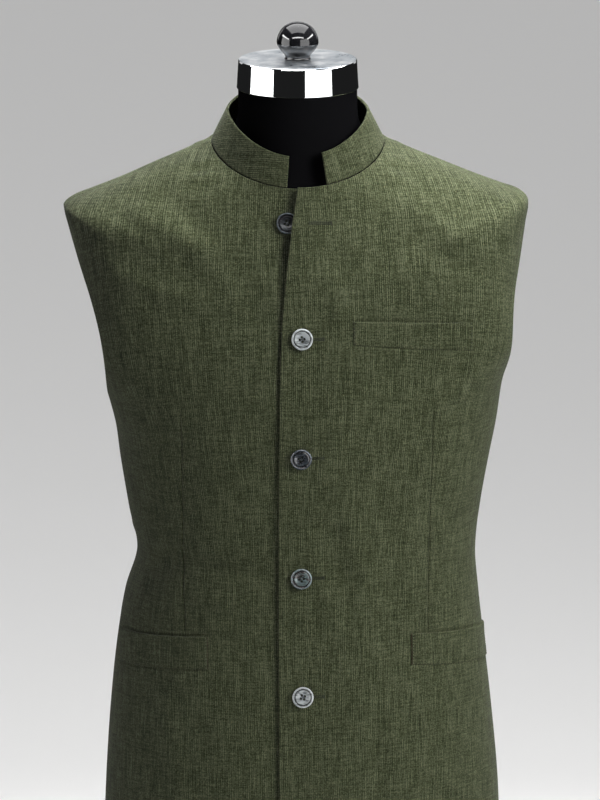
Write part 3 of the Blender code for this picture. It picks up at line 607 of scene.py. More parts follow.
def shell_mesh(outer, inner):
    """Vertices and faces of a closed shell between two nets, outwards if the outer net runs to the right."""
    rows, columns = outer.shape[:2]
    count = rows * columns
    at = np.arange(count).reshape(rows, columns)
    face = np.stack([at[:-1, :-1], at[:-1, 1:], at[1:, 1:], at[1:, :-1]], axis=-1).reshape(-1, 4)
    rim = np.concatenate([at[0, :], at[1:, -1], at[-1, -2::-1], at[-2:0:-1, 0]])
    after = np.roll(rim, -1)
    edge = np.stack([rim + count, after + count, after, rim], axis=-1)
    faces = np.concatenate([face, face[:, ::-1] + count, edge])
    return np.concatenate([outer.reshape(-1, 3), inner.reshape(-1, 3)]), faces


def new_object(name, vertices, faces, sharp_degrees=50.0):
    mesh = bpy.data.meshes.new(name)
    mesh.from_pydata(np.asarray(vertices, float).tolist(), [], [list(map(int, face)) for face in faces])
    mesh.shade_smooth()
    mesh.set_sharp_from_angle(angle=math.radians(sharp_degrees))
    thing = bpy.data.objects.new(name, mesh)
    bpy.context.scene.collection.objects.link(thing)
    return thing


# %% [markdown]
# Weave follows the cut of the cloth, not its place in the room. So each outer face is laid flat, as a
# pattern cutter would draw it. The flat pattern is scaled to the true area and turned so that the grain
# runs upright, along the front edge or the centre back. It is kept in metres as a UV map, and the weave
# is read from it.

# %% Flat patterns
FLAT_CUT = "flat_cut"


def turn_matrix(angle):
    return np.array([[math.cos(angle), math.sin(angle)], [-math.sin(angle), math.cos(angle)]])


def lay_flat(thing, outer_count, columns, grain_rows, grain_column, turn_degrees, offset):
    """Unwraps the outer face and returns the flat width, length and area in metres."""
    mesh = thing.data
    layer = mesh.uv_layers.new(name=FLAT_CUT)
    bpy.ops.object.select_all(action="DESELECT")
    bpy.context.view_layer.objects.active = thing
    thing.select_set(True)
    loops = np.empty(len(mesh.loops), np.int32)
    mesh.loops.foreach_get("vertex_index", loops)
    starts = np.empty(len(mesh.polygons), np.int32)
    mesh.polygons.foreach_get("loop_start", starts)
    outside = loops[starts] < outer_count
    outside &= loops[np.minimum(starts + 2, len(loops) - 1)] < outer_count
    mesh.polygons.foreach_set("select", outside)
    bpy.context.tool_settings.mesh_select_mode = (False, False, True)
    bpy.ops.object.mode_set(mode="EDIT")
    bpy.ops.uv.unwrap(method="CONFORMAL", margin=0.0)
    bpy.ops.object.mode_set(mode="OBJECT")
    layer = mesh.uv_layers[FLAT_CUT]
    flat = np.empty(len(mesh.loops) * 2, np.float32)
    layer.uv.foreach_get("vector", flat)
    flat = flat.reshape(-1, 2).astype(float)
    vertex_flat = np.zeros((len(mesh.vertices), 2))
    outer_loops = np.repeat(outside, 4)[: len(loops)]
    vertex_flat[loops[outer_loops]] = flat[outer_loops]
    net = vertex_flat[:outer_count].reshape(-1, columns, 2)
    places = np.empty(len(mesh.vertices) * 3, np.float32)
    mesh.vertices.foreach_get("co", places)
    solid = places.reshape(-1, 3)[:outer_count].reshape(-1, columns, 3)
    true_area = net_area(solid)
    flat_area = net_area(np.concatenate([net, np.zeros((*net.shape[:2], 1))], axis=-1))
    net = net * math.sqrt(true_area / flat_area)
    grain = net[grain_rows[1], grain_column] - net[grain_rows[0], grain_column]
    slant = math.radians(turn_degrees)
    net = net @ turn_matrix(math.atan2(grain[0], grain[1]) + slant)
    straight = (net @ turn_matrix(-slant)).reshape(-1, 2)
    size = straight.max(axis=0) - straight.min(axis=0)
    net = net - net.reshape(-1, 2).min(axis=0) + np.array(offset)
    both = np.concatenate([net.reshape(-1, 2), net.reshape(-1, 2)])
    layer.uv.foreach_set("vector", both[loops].astype(np.float32).ravel())
    return float(size[0]), float(size[1]), true_area


def net_area(net):
    """The area of a net of points."""
    one = np.cross(net[1:, :-1] - net[:-1, :-1], net[:-1, 1:] - net[:-1, :-1])
    two = np.cross(net[:-1, 1:] - net[1:, 1:], net[1:, :-1] - net[1:, 1:])
    return float((np.linalg.norm(one, axis=-1).sum() + np.linalg.norm(two, axis=-1).sum()) / 2)


# %% [markdown]
# The body of the jacket is four panels, two fronts and two backs, which meet at the side seams, the
# shoulder seams and the centre back. Each is one closed shell made from its own net. The edges at the
# hem, the armhole and the button line are free, and the other edges are seams.

# %% Body panels
PANEL_WALL = 2.0
PANELS = named("name side front over offset", (
    ("front_left", 1, True, True, (0.0, 0.0)),
    ("front_right", -1, True, False, (0.7, 0.1)),
    ("back_left", 1, False, False, (1.4, 0.3)),
    ("back_right", -1, False, False, (2.1, 0.2)),
))
cloth = {}
flat_sizes = {}


def make_panel(panel):
    angles, levels = panel_net(panel.side, panel.front, panel.over)
    points, normals = cloth_surface(angles, levels, panel.over)
    rows, columns = angles.shape
    free_rows = np.flatnonzero((levels[:, 0] >= UNDERARM) & (levels[:, 0] <= TIP))
    seam_low = points[: free_rows[0] + 1, -1]
    seam_high = points[free_rows[-1]:, -1]
    free = np.minimum(
        distance_to_line(points, points[0]),
        distance_to_line(points, points[free_rows, -1]),
    )
    seam = np.minimum(distance_to_line(points, seam_low), distance_to_line(points, seam_high))
    neck_seam = distance_to_line(points, points[-1])
    start_line = distance_to_line(points, points[:, 0])
    if panel.front:
        free = np.minimum(free, start_line)
    else:
        seam = np.minimum(seam, start_line)
    fall = np.maximum(rolled(free, FREE_ROUND), rolled(seam, SEAM_ROUND))
    fall = np.maximum(fall, rolled(neck_seam, NECK_SEAM_ROUND))
    rise = rolled(free, FREE_ROUND)
    outer = moved_out(points, normals, -fall)
    inner = moved_out(points, normals, rise - PANEL_WALL)
    if angles[0, -1] < angles[0, 0]:
        outer = outer[:, ::-1]
        inner = inner[:, ::-1]
    vertices, faces = shell_mesh(metres(outer), metres(inner))
    thing = new_object(panel.name, vertices, faces)
    flip = angles[0, -1] < angles[0, 0]
    grain_column = columns - 1 if flip else 0
    drops = points[:, 0, 2]
    grain_rows = (int(np.argmin(abs(drops - 640))), int(np.argmin(abs(drops - 260))))
    count = rows * columns
    flat_sizes[panel.name] = lay_flat(thing, count, columns, grain_rows, grain_column, 0.0, panel.offset)
    cloth[panel.name] = thing
    return thing


for panel in PANELS:
    made = make_panel(panel)
    print(panel.name, "faces", len(made.data.polygons), "flat", [round(v, 3) for v in flat_sizes[panel.name]])

# %% [markdown]
# The collar is one band that goes round the back of the neck. It is stiffened inside, so it stands smooth
# and is thicker than the panels. Its right end rides on the over front, and its cloth is cut on the
# slant, which is why its weave looks diagonal.

# %% Collar
COLLAR_LEFT_END_X = -12.7
COLLAR_RIGHT_END_X = 23.4
COLLAR_STEP = 2.6
COLLAR_TOP = float(COLLAR_RINGS[-1].level)
COLLAR_THICK = 2.6
collar_start = angle_of_x(COLLAR_LEFT_END_X, NECKLINE)
collar_stop = angle_of_x(COLLAR_RIGHT_END_X, NECKLINE) - 2 * math.pi


def collar_net():
    samples = np.linspace(collar_start, collar_stop, 4 * RING_SAMPLES)
    run = run_along(collar_surface(samples, NECKLINE))
    places = spaced(run[-1], (), (int(run[-1] / COLLAR_STEP),), (0.0, 0.0))
    row = np.interp(places, run, samples)
    rise = COLLAR_TOP - NECKLINE
    foot, top = (collar_surface(math.pi / 2, level) for level in (NECKLINE, COLLAR_TOP))
    slant = float(np.linalg.norm(top - foot))
    ups = np.concatenate([EDGE_STEPS, np.linspace(2.1, slant - 2.1, 14)[1:-1], slant - EDGE_STEPS[::-1]])
    levels = NECKLINE + HALF_SEAM + (rise - HALF_SEAM) * ups / slant
    return np.broadcast_arrays(row[None, :], levels[:, None])


def make_collar():
    angles, levels = collar_net()
    points = collar_surface(angles, levels)
    normals = normals_of(collar_surface, angles, levels, NECKLINE, COLLAR_TOP)
    seam_points = jacket_surface(angles, NECKLINE)
    seam_normals = normals_of(jacket_surface, angles, np.full(angles.shape, NECKLINE), 0.0, NECKLINE)
    on_over = (wrapped(angles) > 0) & (np.abs(wrapped(angles)) <= math.pi / 2)
    points = moved_out(points, seam_normals, np.where(on_over, wrap_lift(seam_points), 0.0))
    free = distance_to_line(points, points[-1])
    free = np.minimum(free, distance_to_line(points, points[:, 0]))
    free = np.minimum(free, distance_to_line(points, points[:, -1]))
    seam = distance_to_line(points, points[0])
    round_off = rolled(free, 1.2)
    outer = moved_out(points, normals, -np.maximum(round_off, rolled(seam, 1.2)))
    inner = moved_out(points, normals, np.maximum(round_off, rolled(seam, 0.4)) - COLLAR_THICK)
    vertices, faces = shell_mesh(metres(outer[:, ::-1]), metres(inner[:, ::-1]))
    thing = new_object("collar", vertices, faces)
    rows, columns = angles.shape
    middle = columns // 2
    flat_sizes["collar"] = lay_flat(
        thing, rows * columns, columns, (0, rows - 1), middle, 40.0, (2.8, 0.1)
    )
    cloth["collar"] = thing


make_collar()
print("collar flat", [round(v, 3) for v in flat_sizes["collar"]])

# %% [markdown]
# A welt is a folded strip sewn over the mouth of a pocket. It lies a little proud at its folded top edge
# and is sewn down flat at its ends and foot. Each is laid on the finished surface of its front, so it
# follows every crease beneath it.

# %% Welts
WELT_STEP = 3.0
WELT_TOP_THICK = 2.1
WELT_SEWN_THICK = 0.75
WELT_LIFT = 0.15


def welt_thick(from_end, rise):
    """A welt's thickness at a distance from its nearer end and at a share of its height."""
    proud = (1 - smooth_step(from_end, 0.0, 9.0)) * rise**1.5
    return WELT_SEWN_THICK + (WELT_TOP_THICK - WELT_SEWN_THICK) * proud


def make_welt(welt):
    over = welt.panel == "front_left"
    sign = 1 if welt.out_run > 0 else -1
    length = abs(welt.out_run - welt.in_run)
    along = spaced(length, (), (int(length / WELT_STEP),), (0.0, 0.0))
    height = welt.in_bottom - welt.in_top
    up = np.concatenate([EDGE_STEPS, np.linspace(2.1, height - 2.1, 8)[1:-1], height - EDGE_STEPS[::-1]])
    part, rise = np.meshgrid(along / length, up / height)
    runs = welt.in_run + (welt.out_run - welt.in_run) * part
    top = welt.in_top + (welt.out_top - welt.in_top) * part
    bottom = welt.in_bottom + (welt.out_bottom - welt.in_bottom) * part
    drops = bottom + (top - bottom) * rise
    base, normals = on_front(runs, drops, over)
    ends = np.minimum(distance_to_line(base, base[:, 0]), distance_to_line(base, base[:, -1]))
    thick = welt_thick(ends, rise)
    near = np.minimum(ends, distance_to_line(base, base[0]))
    near = np.minimum(near, distance_to_line(base, base[-1]))
    fall = rolled(near, 0.7) * thick
    outer = moved_out(base, normals, WELT_LIFT + thick - fall)
    inner = moved_out(base, normals, np.full(base.shape[:-1], WELT_LIFT * 0.5))
    if sign < 0:
        outer = outer[:, ::-1]
        inner = inner[:, ::-1]
    vertices, faces = shell_mesh(metres(outer), metres(inner))
    thing = new_object(welt.name, vertices, faces)
    rows, columns = part.shape
    flat_sizes[welt.name] = lay_flat(
        thing, rows * columns, columns, (0, rows - 1), columns // 2, 0.0, welt.offset
    )
    cloth[welt.name] = thing


for welt in WELTS:
    make_welt(welt)
    print(welt.name, "flat", [round(v, 3) for v in flat_sizes[welt.name]])

# %% [markdown]
# Buttons, cap, knob and stand are turned on a lathe, so each is a short list of radii and heights spun
# about its axis. The buttons get four thread holes, cut with a Boolean as a drill would.

# %% Turned pieces
def closed_rings(rings, foot_height, top_height):
    """Vertices and faces of stacked rings, closed by a middle point on the axis at both ends."""
    count, sides = rings.shape[:2]
    ends = [(0.0, 0.0, foot_height), (0.0, 0.0, top_height)]
    vertices = np.concatenate([rings.reshape(-1, 3), ends])
    foot = count * sides
    last = foot - sides
    faces = []
    for here in range(0, last, sides):
        for step in range(sides):
            after = (step + 1) % sides
            faces.append([here + step, here + after, here + sides + after, here + sides + step])
    for step in range(sides):
        after = (step + 1) % sides
        faces.append([foot, after, step])
        faces.append([foot + 1, last + step, last + after])
    return vertices, faces


def turned_mesh(profile, sides, middle=None):
    """Rings of (radius, height) from the foot up."""
    turns = [2 * math.pi * step / sides for step in range(sides)]
    rings = np.array([
        [(radius * math.cos(turn), radius * math.sin(turn), height) for turn in turns]
        for radius, height in profile
    ])
    return closed_rings(rings, profile[0][1], profile[-1][1] if middle is None else middle)


# %% [markdown]
# A button is turned with a raised rim, a groove and a shallow dish. Each is set on the finished surface
# of its front, facing straight out of the cloth, and is turned by its own angle, as hand-sewn buttons
# are.

# %% Buttons
BUTTONS = named("name panel run drop turn", (
    ("button_1", "front_right", -13.0, 64.0, 20.0),
    ("button_2", "front_left", -0.4, 166.0, 8.0),
    ("button_3", "front_left", -1.4, 276.5, -14.0),
    ("button_4", "front_left", -1.0, 393.5, 5.0),
    ("button_5", "front_left", 0.0, 506.5, 30.0),
))
BUTTON_PROFILE = (
    (7.4, 0.0), (8.6, 0.15), (9.4, 0.6), (9.85, 1.4), (10.0, 2.3), (9.9, 2.9), (9.5, 3.35), (8.9, 3.6),
    (8.45, 3.5), (8.1, 3.2), (7.9, 2.6), (7.6, 2.25), (7.25, 2.35), (6.9, 2.55), (6.2, 2.5), (5.0, 2.3),
    (2.6, 2.15),
)
BUTTON_HOLE_RADIUS = 1.15
BUTTON_HOLE_OUT = 2.15
BUTTON_SEAT = 0.6
button_frames = {}


def make_button(button):
    profile = [(radius * MM, height * MM) for radius, height in BUTTON_PROFILE]
    vertices, faces = turned_mesh(profile, 64, 2.15 * MM)
    disc = new_object(button.name, vertices, faces, 60.0)
    for step in range(4):
        angle = math.pi / 2 * step
        rod = [(BUTTON_HOLE_RADIUS * MM, -MM), (BUTTON_HOLE_RADIUS * MM, 4 * MM)]
        drill_shape, drill_faces = turned_mesh(rod, 20)
        shift = np.array([math.cos(angle), math.sin(angle), 0.0]) * BUTTON_HOLE_OUT * MM
        drill = new_object("drill", drill_shape + shift, drill_faces)
        cut = disc.modifiers.new("hole", "BOOLEAN")
        cut.operation = "DIFFERENCE"
        cut.object = drill
        cut.solver = "EXACT"
        bpy.context.view_layer.objects.active = disc
        bpy.ops.object.modifier_apply(modifier=cut.name)
        bpy.data.objects.remove(drill, do_unlink=True)
    points, normals = on_front(np.array([button.run]), np.array([button.drop]), button.panel == "front_left")
    seat = moved_out(points, normals, BUTTON_SEAT)[0]
    out = Vector(normals[0])
    across = Vector((0.0, 0.0, 1.0)).cross(out).normalized()
    turn = Matrix((across, out.cross(across), out)).transposed().to_4x4()
    spin = Matrix.Rotation(math.radians(button.turn + 45.0 + 45.0), 4, "Z")
    place = Matrix.Translation(Vector(metres(seat))) @ turn @ spin
    button_frames[button.name] = place
    disc.data.transform(place)
    disc.data.shade_smooth()
    disc.data.set_sharp_from_angle(angle=math.radians(40.0))
    return disc


buttons = {button.name: make_button(button) for button in BUTTONS}
print("button faces", {name: len(disc.data.polygons) for name, disc in buttons.items()})

# %% [markdown]
# The form is one smooth black body, drawn from its own table of rings. It is symmetric, so one half width
# and one side drop serve both sides. The model's form is the same shape with fewer facets.

# %% Dress form
FORM_RINGS = named("""place level drop_side drop_front drop_back
half y_side y_front y_back round_front round_back tilt""", (
    ("lower_edge", -60, 760, 760, 760, 163, 0, -101, 97, 2.3, 2.3, 2.0),
    ("lower_round", -53, 753, 753, 753, 171, 0, -108.5, 104.5, 2.3, 2.3, 2.0),
    ("hem", 0, 700, 700, 700, 174.5, 0, -111.5, 107.5, 2.3, 2.3, 2.0),
    ("skirt", 85, 615, 615, 615, 171.5, 0, -110, 110, 2.3, 2.3, 2.0),
    ("hip", 160, 540, 540, 540, 167.5, 0, -108.5, 109, 2.3, 2.3, 2.0),
    ("pocket", 225, 475, 475, 475, 160, 0, -105.5, 98.5, 2.3, 2.3, 2.0),
    ("below_waist", 270, 430, 430, 430, 151.5, 0, -103, 88.5, 2.3, 2.3, 2.0),
    ("waist", 308, 392, 392, 392, 144.5, 0, -102, 83.5, 2.3, 2.3, 2.0),
    ("above_waist", 350, 350, 350, 350, 151, 0, -105, 87, 2.35, 2.3, 2.0),
    ("ribs", 400, 300, 300, 300, 159.5, 1, -111, 97, 2.4, 2.4, 2.0),
    ("chest", 445, 255, 255, 255, 164.5, 2, -115.5, 106, 2.45, 2.45, 2.0),
    ("underarm", 485, 215, 218, 215, 170, 4, -117, 111.5, 2.5, 2.5, 2.0),
    ("arm_low", 525, 170, 182, 168, 178, 4, -114, 112.5, 2.5, 2.5, 2.0),
    ("arm_high", 576, 122, 151, 131, 189, 3, -107, 110.5, 2.45, 2.45, 2.0),
    ("shoulder_side", 616, 86, 125, 103, 199, 2, -99.5, 105.5, 2.35, 2.35, 2.0),
    ("shoulder_end", 646, 65, 108, 90, 201, 2, -94.5, 101, 2.3, 2.3, 2.0),
    ("shoulder_round", 662, 56, 101, 82, 191, 1, -92, 99, 2.3, 2.3, 2.0),
    ("shoulder_outer", 699, 42.6, 84, 65, 172, 0, -85, 93.5, 2.2, 2.2, 1.8),
    ("shoulder_inner", 749, 21.5, 60, 39, 126, -1, -75.5, 81.5, 2.1, 2.1, 1.5),
    ("neckline", 796, 3.6, 38, -3, 79, -2, -65.5, 60.5, 2.0, 2.0, 1.3),
    ("neck_low", 806, -1.0, 27, -11, 67.5, -1, -60.5, 57.0, 2.0, 2.0, 1.3),
    ("neck_middle", 820, -13, 7, -25, 58.5, 0, -56.5, 56, 2.0, 2.0, 1.5),
    ("neck_high", 838, -30, -20, -37, 55.7, 0, -55.6, 55.5, 2.0, 2.0, 1.8),
    ("neck_top", 856, -48.3, -48.3, -48.3, 55.5, 0, -55.5, 55.5, 2.0, 2.0, 2.0),
))
FORM_SIDES = 96
FORM_ROW = 9.0


def make_form():
    steps = [row.level for row in FORM_RINGS]
    levels = []
    for low, high in zip(steps, steps[1:]):
        count = max(2, int(math.ceil((high - low) / FORM_ROW)))
        levels += list(np.linspace(low, high, count + 1)[:-1])
    levels.append(steps[-1])
    angles = wrapped(np.linspace(0.0, 2 * math.pi, FORM_SIDES, endpoint=False))
    front = np.abs(angles) <= math.pi / 2
    rings = []
    for level in levels:
        ring = ring_at(FORM_RINGS, level)
        rings.append(ring_shape(
            angles,
            ring["half"],
            ring["y_side"],
            np.where(front, ring["y_front"], ring["y_back"]),
            np.where(front, ring["round_front"], ring["round_back"]),
            ring["drop_side"],
            np.where(front, ring["drop_front"], ring["drop_back"]),
            ring["tilt"],
        ))
    rings = metres(np.array(rings))
    return new_object("form_torso", *closed_rings(rings, rings[0, 0, 2], rings[-1, 0, 2]))


form = make_form()
print("form faces", len(form.data.polygons))

# %% [markdown]
# The form ends in a chrome cap with a black knob, and stands on a pole with a flange at each end and a
# round base. Their corners are rounded a little, because a sharp corner catches no light. Small gaps keep
# the pieces from touching.

# %% Neck cap, knob and stand
def rounded(corners, radius, count=5):
    """A profile whose inner corners are rounded by short curves."""
    out = [corners[0]]
    for before, corner, after in zip(corners, corners[1:], corners[2:]):
        here = Vector(corner)
        back = Vector(before) - here
        on = Vector(after) - here
        reach = min(radius, 0.45 * back.length, 0.45 * on.length)
        start = here + back.normalized() * reach
        stop = here + on.normalized() * reach
        for step in range(count + 1):
            part = step / count
            place = start * (1 - part) ** 2 + here * 2 * part * (1 - part) + stop * part**2
            out.append((place.x, place.y))
    out.append(corners[-1])
    return out


TOUCH_GAP = 0.3
BASE_TOP = 12.0
POLE_TOP = 102.0
FLANGE_TALL = 10.0
POLE_TALL = POLE_TOP - BASE_TOP - 2 * FLANGE_TALL - 4 * TOUCH_GAP
cap_foot_mm = SHOULDER_HEIGHT / MM - FORM_RINGS[-1].drop_side + TOUCH_GAP
KNOB_CURVE = (
    (12.4, 0.0), (11.9, 0.8), (11.7, 1.8), (12.2, 3.2), (13.4, 4.8), (14.9, 6.3), (16.6, 8.4), (18.0, 10.6),
    (19.0, 12.8), (19.5, 15.0), (19.4, 17.0), (18.9, 19.8), (18.0, 22.4), (16.6, 25.2), (14.7, 27.9),
    (12.4, 30.2), (9.6, 32.0), (6.4, 33.3), (3.2, 34.0),
)
TURNED = named("name foot top_middle sides profile", (
    ("neck_cap", cap_foot_mm, 27.5, 192, rounded(
        [(56.2, 0.0), (56.8, 0.7), (56.6, 2.0), (55.3, 25.6), (54.6, 27.2), (53.0, 27.5), (40.0, 27.5)], 0.6)),
    ("knob", cap_foot_mm + 27.5 + TOUCH_GAP, 34.2, 96, KNOB_CURVE),
    ("base", 0.0, BASE_TOP, 160, rounded(
        [(153.5, 0.0), (155.0, 1.5), (155.0, 9.0), (152.0, 12.0), (140.0, 12.0)], 2.0)),
    ("flange_low", BASE_TOP + TOUCH_GAP, FLANGE_TALL, 96, rounded(
        [(36.0, 0.0), (36.0, 6.0), (14.0, 10.0), (10.0, 10.0)], 1.2)),
    ("pole", BASE_TOP + FLANGE_TALL + 2 * TOUCH_GAP, POLE_TALL, 64, [(14.0, 0.0), (14.0, POLE_TALL)]),
    ("flange_high", POLE_TOP - TOUCH_GAP - FLANGE_TALL, FLANGE_TALL, 96, rounded(
        [(10.0, 0.0), (14.0, 0.0), (36.0, 4.0), (36.0, 10.0)], 1.2)),
))
stand = {}
for row in TURNED:
    profile = [(radius * MM, height * MM) for radius, height in row.profile]
    vertices, faces = turned_mesh(profile, row.sides, row.top_middle * MM)
    vertices[:, 2] += row.foot * MM
    stand[row.name] = new_object(row.name, vertices, faces, 35.0)
    low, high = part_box(row.name)
    own_low, own_high = vertices.min(axis=0), vertices.max(axis=0)
    print(row.name, "off the model by", round(float(abs(own_low - np.array(low)).max()), 5),
          round(float(abs(own_high - np.array(high)).max()), 5))

# %% [markdown]
# A material is a small network of nodes, and every cloth piece shares one weave. So the weave is a node
# group that is built once. A short helper adds a node, sets it up and joins its inputs, which keeps each
# network short enough to read.

# %% Node helpers
class Network:
    """Adds nodes to one tree and joins them."""

    def __init__(self, tree):
        self.tree = tree

    def add(self, kind, inputs=None, **settings):
        node = self.tree.nodes.new(kind)
        for name, value in settings.items():
            setattr(node, name, value)
        for name, value in (inputs or {}).items():
            self.feed(node.inputs[name], value)
        return node

    def feed(self, socket, value):
        if isinstance(value, bpy.types.NodeSocket):
            self.tree.links.new(value, socket)
        else:
            socket.default_value = value

    def math(self, operation, first, second=0.0, clamp=False):
        node = self.add("ShaderNodeMath", {0: first, 1: second}, operation=operation, use_clamp=clamp)
        return node.outputs[0]

    def vector(self, x=0.0, y=0.0, z=0.0):
        return self.add("ShaderNodeCombineXYZ", {0: x, 1: y, 2: z}).outputs[0]

    def scaled(self, place, sizes):
        return self.add("ShaderNodeVectorMath", {0: place, 1: sizes}, operation="MULTIPLY").outputs[0]

    def spot(self, sizes=None):
        """The place on the finished piece, in metres or scaled by three sizes."""
        place = self.add("ShaderNodeTexCoord").outputs["Object"]
        return self.scaled(place, sizes) if sizes else place

    def noise(self, place, detail=2.0, roughness=0.5, distortion=0.0):
        return self.add("ShaderNodeTexNoise", {
            "Vector": place, "Scale": 1.0, "Detail": detail,
            "Roughness": roughness, "Distortion": distortion,
        }).outputs[0]

    def white(self, place):
        return self.add("ShaderNodeTexWhiteNoise", {"Vector": place}, noise_dimensions="3D").outputs["Value"]

    def remap(self, value, low, high, to_low=0.0, to_high=1.0):
        node = self.add("ShaderNodeMapRange", {0: value, 1: low, 2: high, 3: to_low, 4: to_high}, clamp=True)
        return node.outputs[0]

    def mix(self, factor, first, second):
        node = self.add("ShaderNodeMix", data_type="RGBA")
        self.feed(node.inputs[0], factor)
        self.feed(node.inputs[6], first)
        self.feed(node.inputs[7], second)
        return node.outputs[2]


def new_group(name, inputs, outputs):
    """An empty shader node group, its network, its input sockets and its output node."""
    tree = bpy.data.node_groups.new(name, "ShaderNodeTree")
    for label, kind in inputs:
        tree.interface.new_socket(label, in_out="INPUT", socket_type=kind)
    for label, kind in outputs:
        tree.interface.new_socket(label, in_out="OUTPUT", socket_type=kind)
    network = Network(tree)
    entry = network.add("NodeGroupInput")
    leave = network.add("NodeGroupOutput")
    return tree, network, entry.outputs, leave.inputs


def new_material(name):
    material = bpy.data.materials.new(name)
    material.use_nodes = True
    return material, Network(material.node_tree), material.node_tree.nodes["Principled BSDF"]


def colour(red, green, blue):
    return (red, green, blue, 1.0)


# %% [markdown]
# The cloth is linen whose yarns were spun from light and dark green fibres. No two yarns are alike, and
# along a yarn the tone drifts in streaks a few millimetres long. Warp and weft yarns pass over and under
# in turn. The weave could be modelled thread by thread, but that is millions of threads, so a texture
# numbers the yarns and gives each its own drifting tone.

# %% Linen
WARP_PITCH = 0.90
WEFT_PITCH = 0.86
tree, net, given, result = new_group(
    "linen weave",
    [("Place", "NodeSocketVector")],
    [("Colour", "NodeSocketColor"), ("Roughness", "NodeSocketFloat"), ("Height", "NodeSocketFloat")],
)
parts = net.add("ShaderNodeSeparateXYZ", {0: given["Place"]})
YARN_BEND_SIZE = 24.0
bend_x, bend_y = (net.math("DIVIDE", parts.outputs[index], YARN_BEND_SIZE) for index in (0, 1))
bend = net.noise(net.vector(bend_x, bend_y))
across = net.math("ADD", parts.outputs[0], net.math("MULTIPLY", bend, 2.4))
along = net.math("ADD", parts.outputs[1], net.math("MULTIPLY", bend, -1.8))
warp_place = net.math("DIVIDE", across, WARP_PITCH)
weft_place = net.math("DIVIDE", along, WEFT_PITCH)
warp_number = net.math("FLOOR", warp_place)
weft_number = net.math("FLOOR", weft_place)
warp_on_top = net.math("PINGPONG", net.math("ADD", warp_number, weft_number), 1.0)
crossing = net.white(net.vector(warp_number, weft_number, 1.0))
warp_step = net.math("MULTIPLY", warp_number, 3.71)
weft_step = net.math("MULTIPLY", weft_number, 5.17)
FIELDS = (
    (warp_step, net.math("DIVIDE", along, 2.4), 1.0, 0.45),
    (warp_step, net.math("DIVIDE", along, 26.0), 4.0, 0.98),
    (net.math("DIVIDE", across, 16.0), weft_step, 7.0, 0.66),
    (net.math("DIVIDE", across, 1.9), net.math("DIVIDE", along, 60.0), 2.0, 0.32),
    (net.math("DIVIDE", across, 45.0), net.math("DIVIDE", along, 2.0), 8.0, 0.32),
    (net.math("DIVIDE", across, 11.0), net.math("DIVIDE", along, 26.0), 5.0, 0.24),
)
fields = []
pale_yarn = net.math("PINGPONG", warp_number, 1.0)
tone = net.math("MULTIPLY", net.math("SUBTRACT", crossing, 0.5), 0.48)
tone = net.math("ADD", tone, net.math("MULTIPLY", net.math("SUBTRACT", pale_yarn, 0.5), 0.30))
for over_x, over_y, seed, weight in FIELDS:
    field = net.noise(net.vector(over_x, over_y, seed), 1.0)
    fields.append(field)
    tone = net.math("ADD", tone, net.math("MULTIPLY", net.math("SUBTRACT", field, 0.5), weight))
tone = net.math("ADD", tone, 0.5, clamp=True)
dark_to_light = net.add("ShaderNodeValToRGB", {0: tone})
ramp = dark_to_light.color_ramp
ramp.elements[0].color = colour(0.0074, 0.0093, 0.0034)
ramp.elements[1].color = colour(0.0705, 0.0790, 0.0440)
middle = ramp.elements.new(0.5)
middle.color = colour(0.0270, 0.0314, 0.0144)
fleck = net.noise(net.vector(net.math("DIVIDE", across, 0.9), net.math("DIVIDE", along, 3.4), 21.0), 0.0)
pale_fleck = net.remap(fleck, 0.80, 0.86)
flecked = net.mix(net.math("MULTIPLY", pale_fleck, 0.7), dark_to_light.outputs[0], colour(0.12, 0.122, 0.062))
net.feed(result["Colour"], flecked)
net.feed(result["Roughness"], net.remap(tone, 0.0, 1.0, 0.92, 0.80))
warp_bulge = net.math("SINE", net.math("MULTIPLY", net.math("FRACT", warp_place), math.pi))
weft_bulge = net.math("SINE", net.math("MULTIPLY", net.math("FRACT", weft_place), math.pi))
bulge = net.add("ShaderNodeMix", {0: warp_on_top, 2: weft_bulge, 3: warp_bulge}, data_type="FLOAT").outputs[0]
height = net.math("ADD", net.math("MULTIPLY", bulge, 0.30), net.math("MULTIPLY", fields[1], 0.9))
height = net.math("ADD", height, net.math("MULTIPLY", fields[2], 0.6))
net.feed(result["Height"], height)
linen_group = tree

linen, net, shader = new_material("linen")
flat_place = net.add("ShaderNodeUVMap", uv_map=FLAT_CUT).outputs[0]
in_mm = net.scaled(flat_place, (1000.0, 1000.0, 1000.0))
weave = net.add("ShaderNodeGroup", {"Place": in_mm}, node_tree=linen_group)
relief = net.add("ShaderNodeBump", {"Strength": 0.7, "Distance": 0.00022, "Height": weave.outputs["Height"]})
net.feed(shader.inputs["Base Color"], weave.outputs["Colour"])
net.feed(shader.inputs["Roughness"], weave.outputs["Roughness"])
net.feed(shader.inputs["Normal"], relief.outputs[0])
shader.inputs["Specular IOR Level"].default_value = 0.10
shader.inputs["Sheen Weight"].default_value = 0.03
shader.inputs["Sheen Roughness"].default_value = 0.45
print("linen nodes", len(linen_group.nodes))

# %% [markdown]
# The sewing thread is dark green on the buttonholes, grey on the buttons, and pale or reddish brown on
# the pockets. Each is one twisted yarn, so its tone changes along its length.

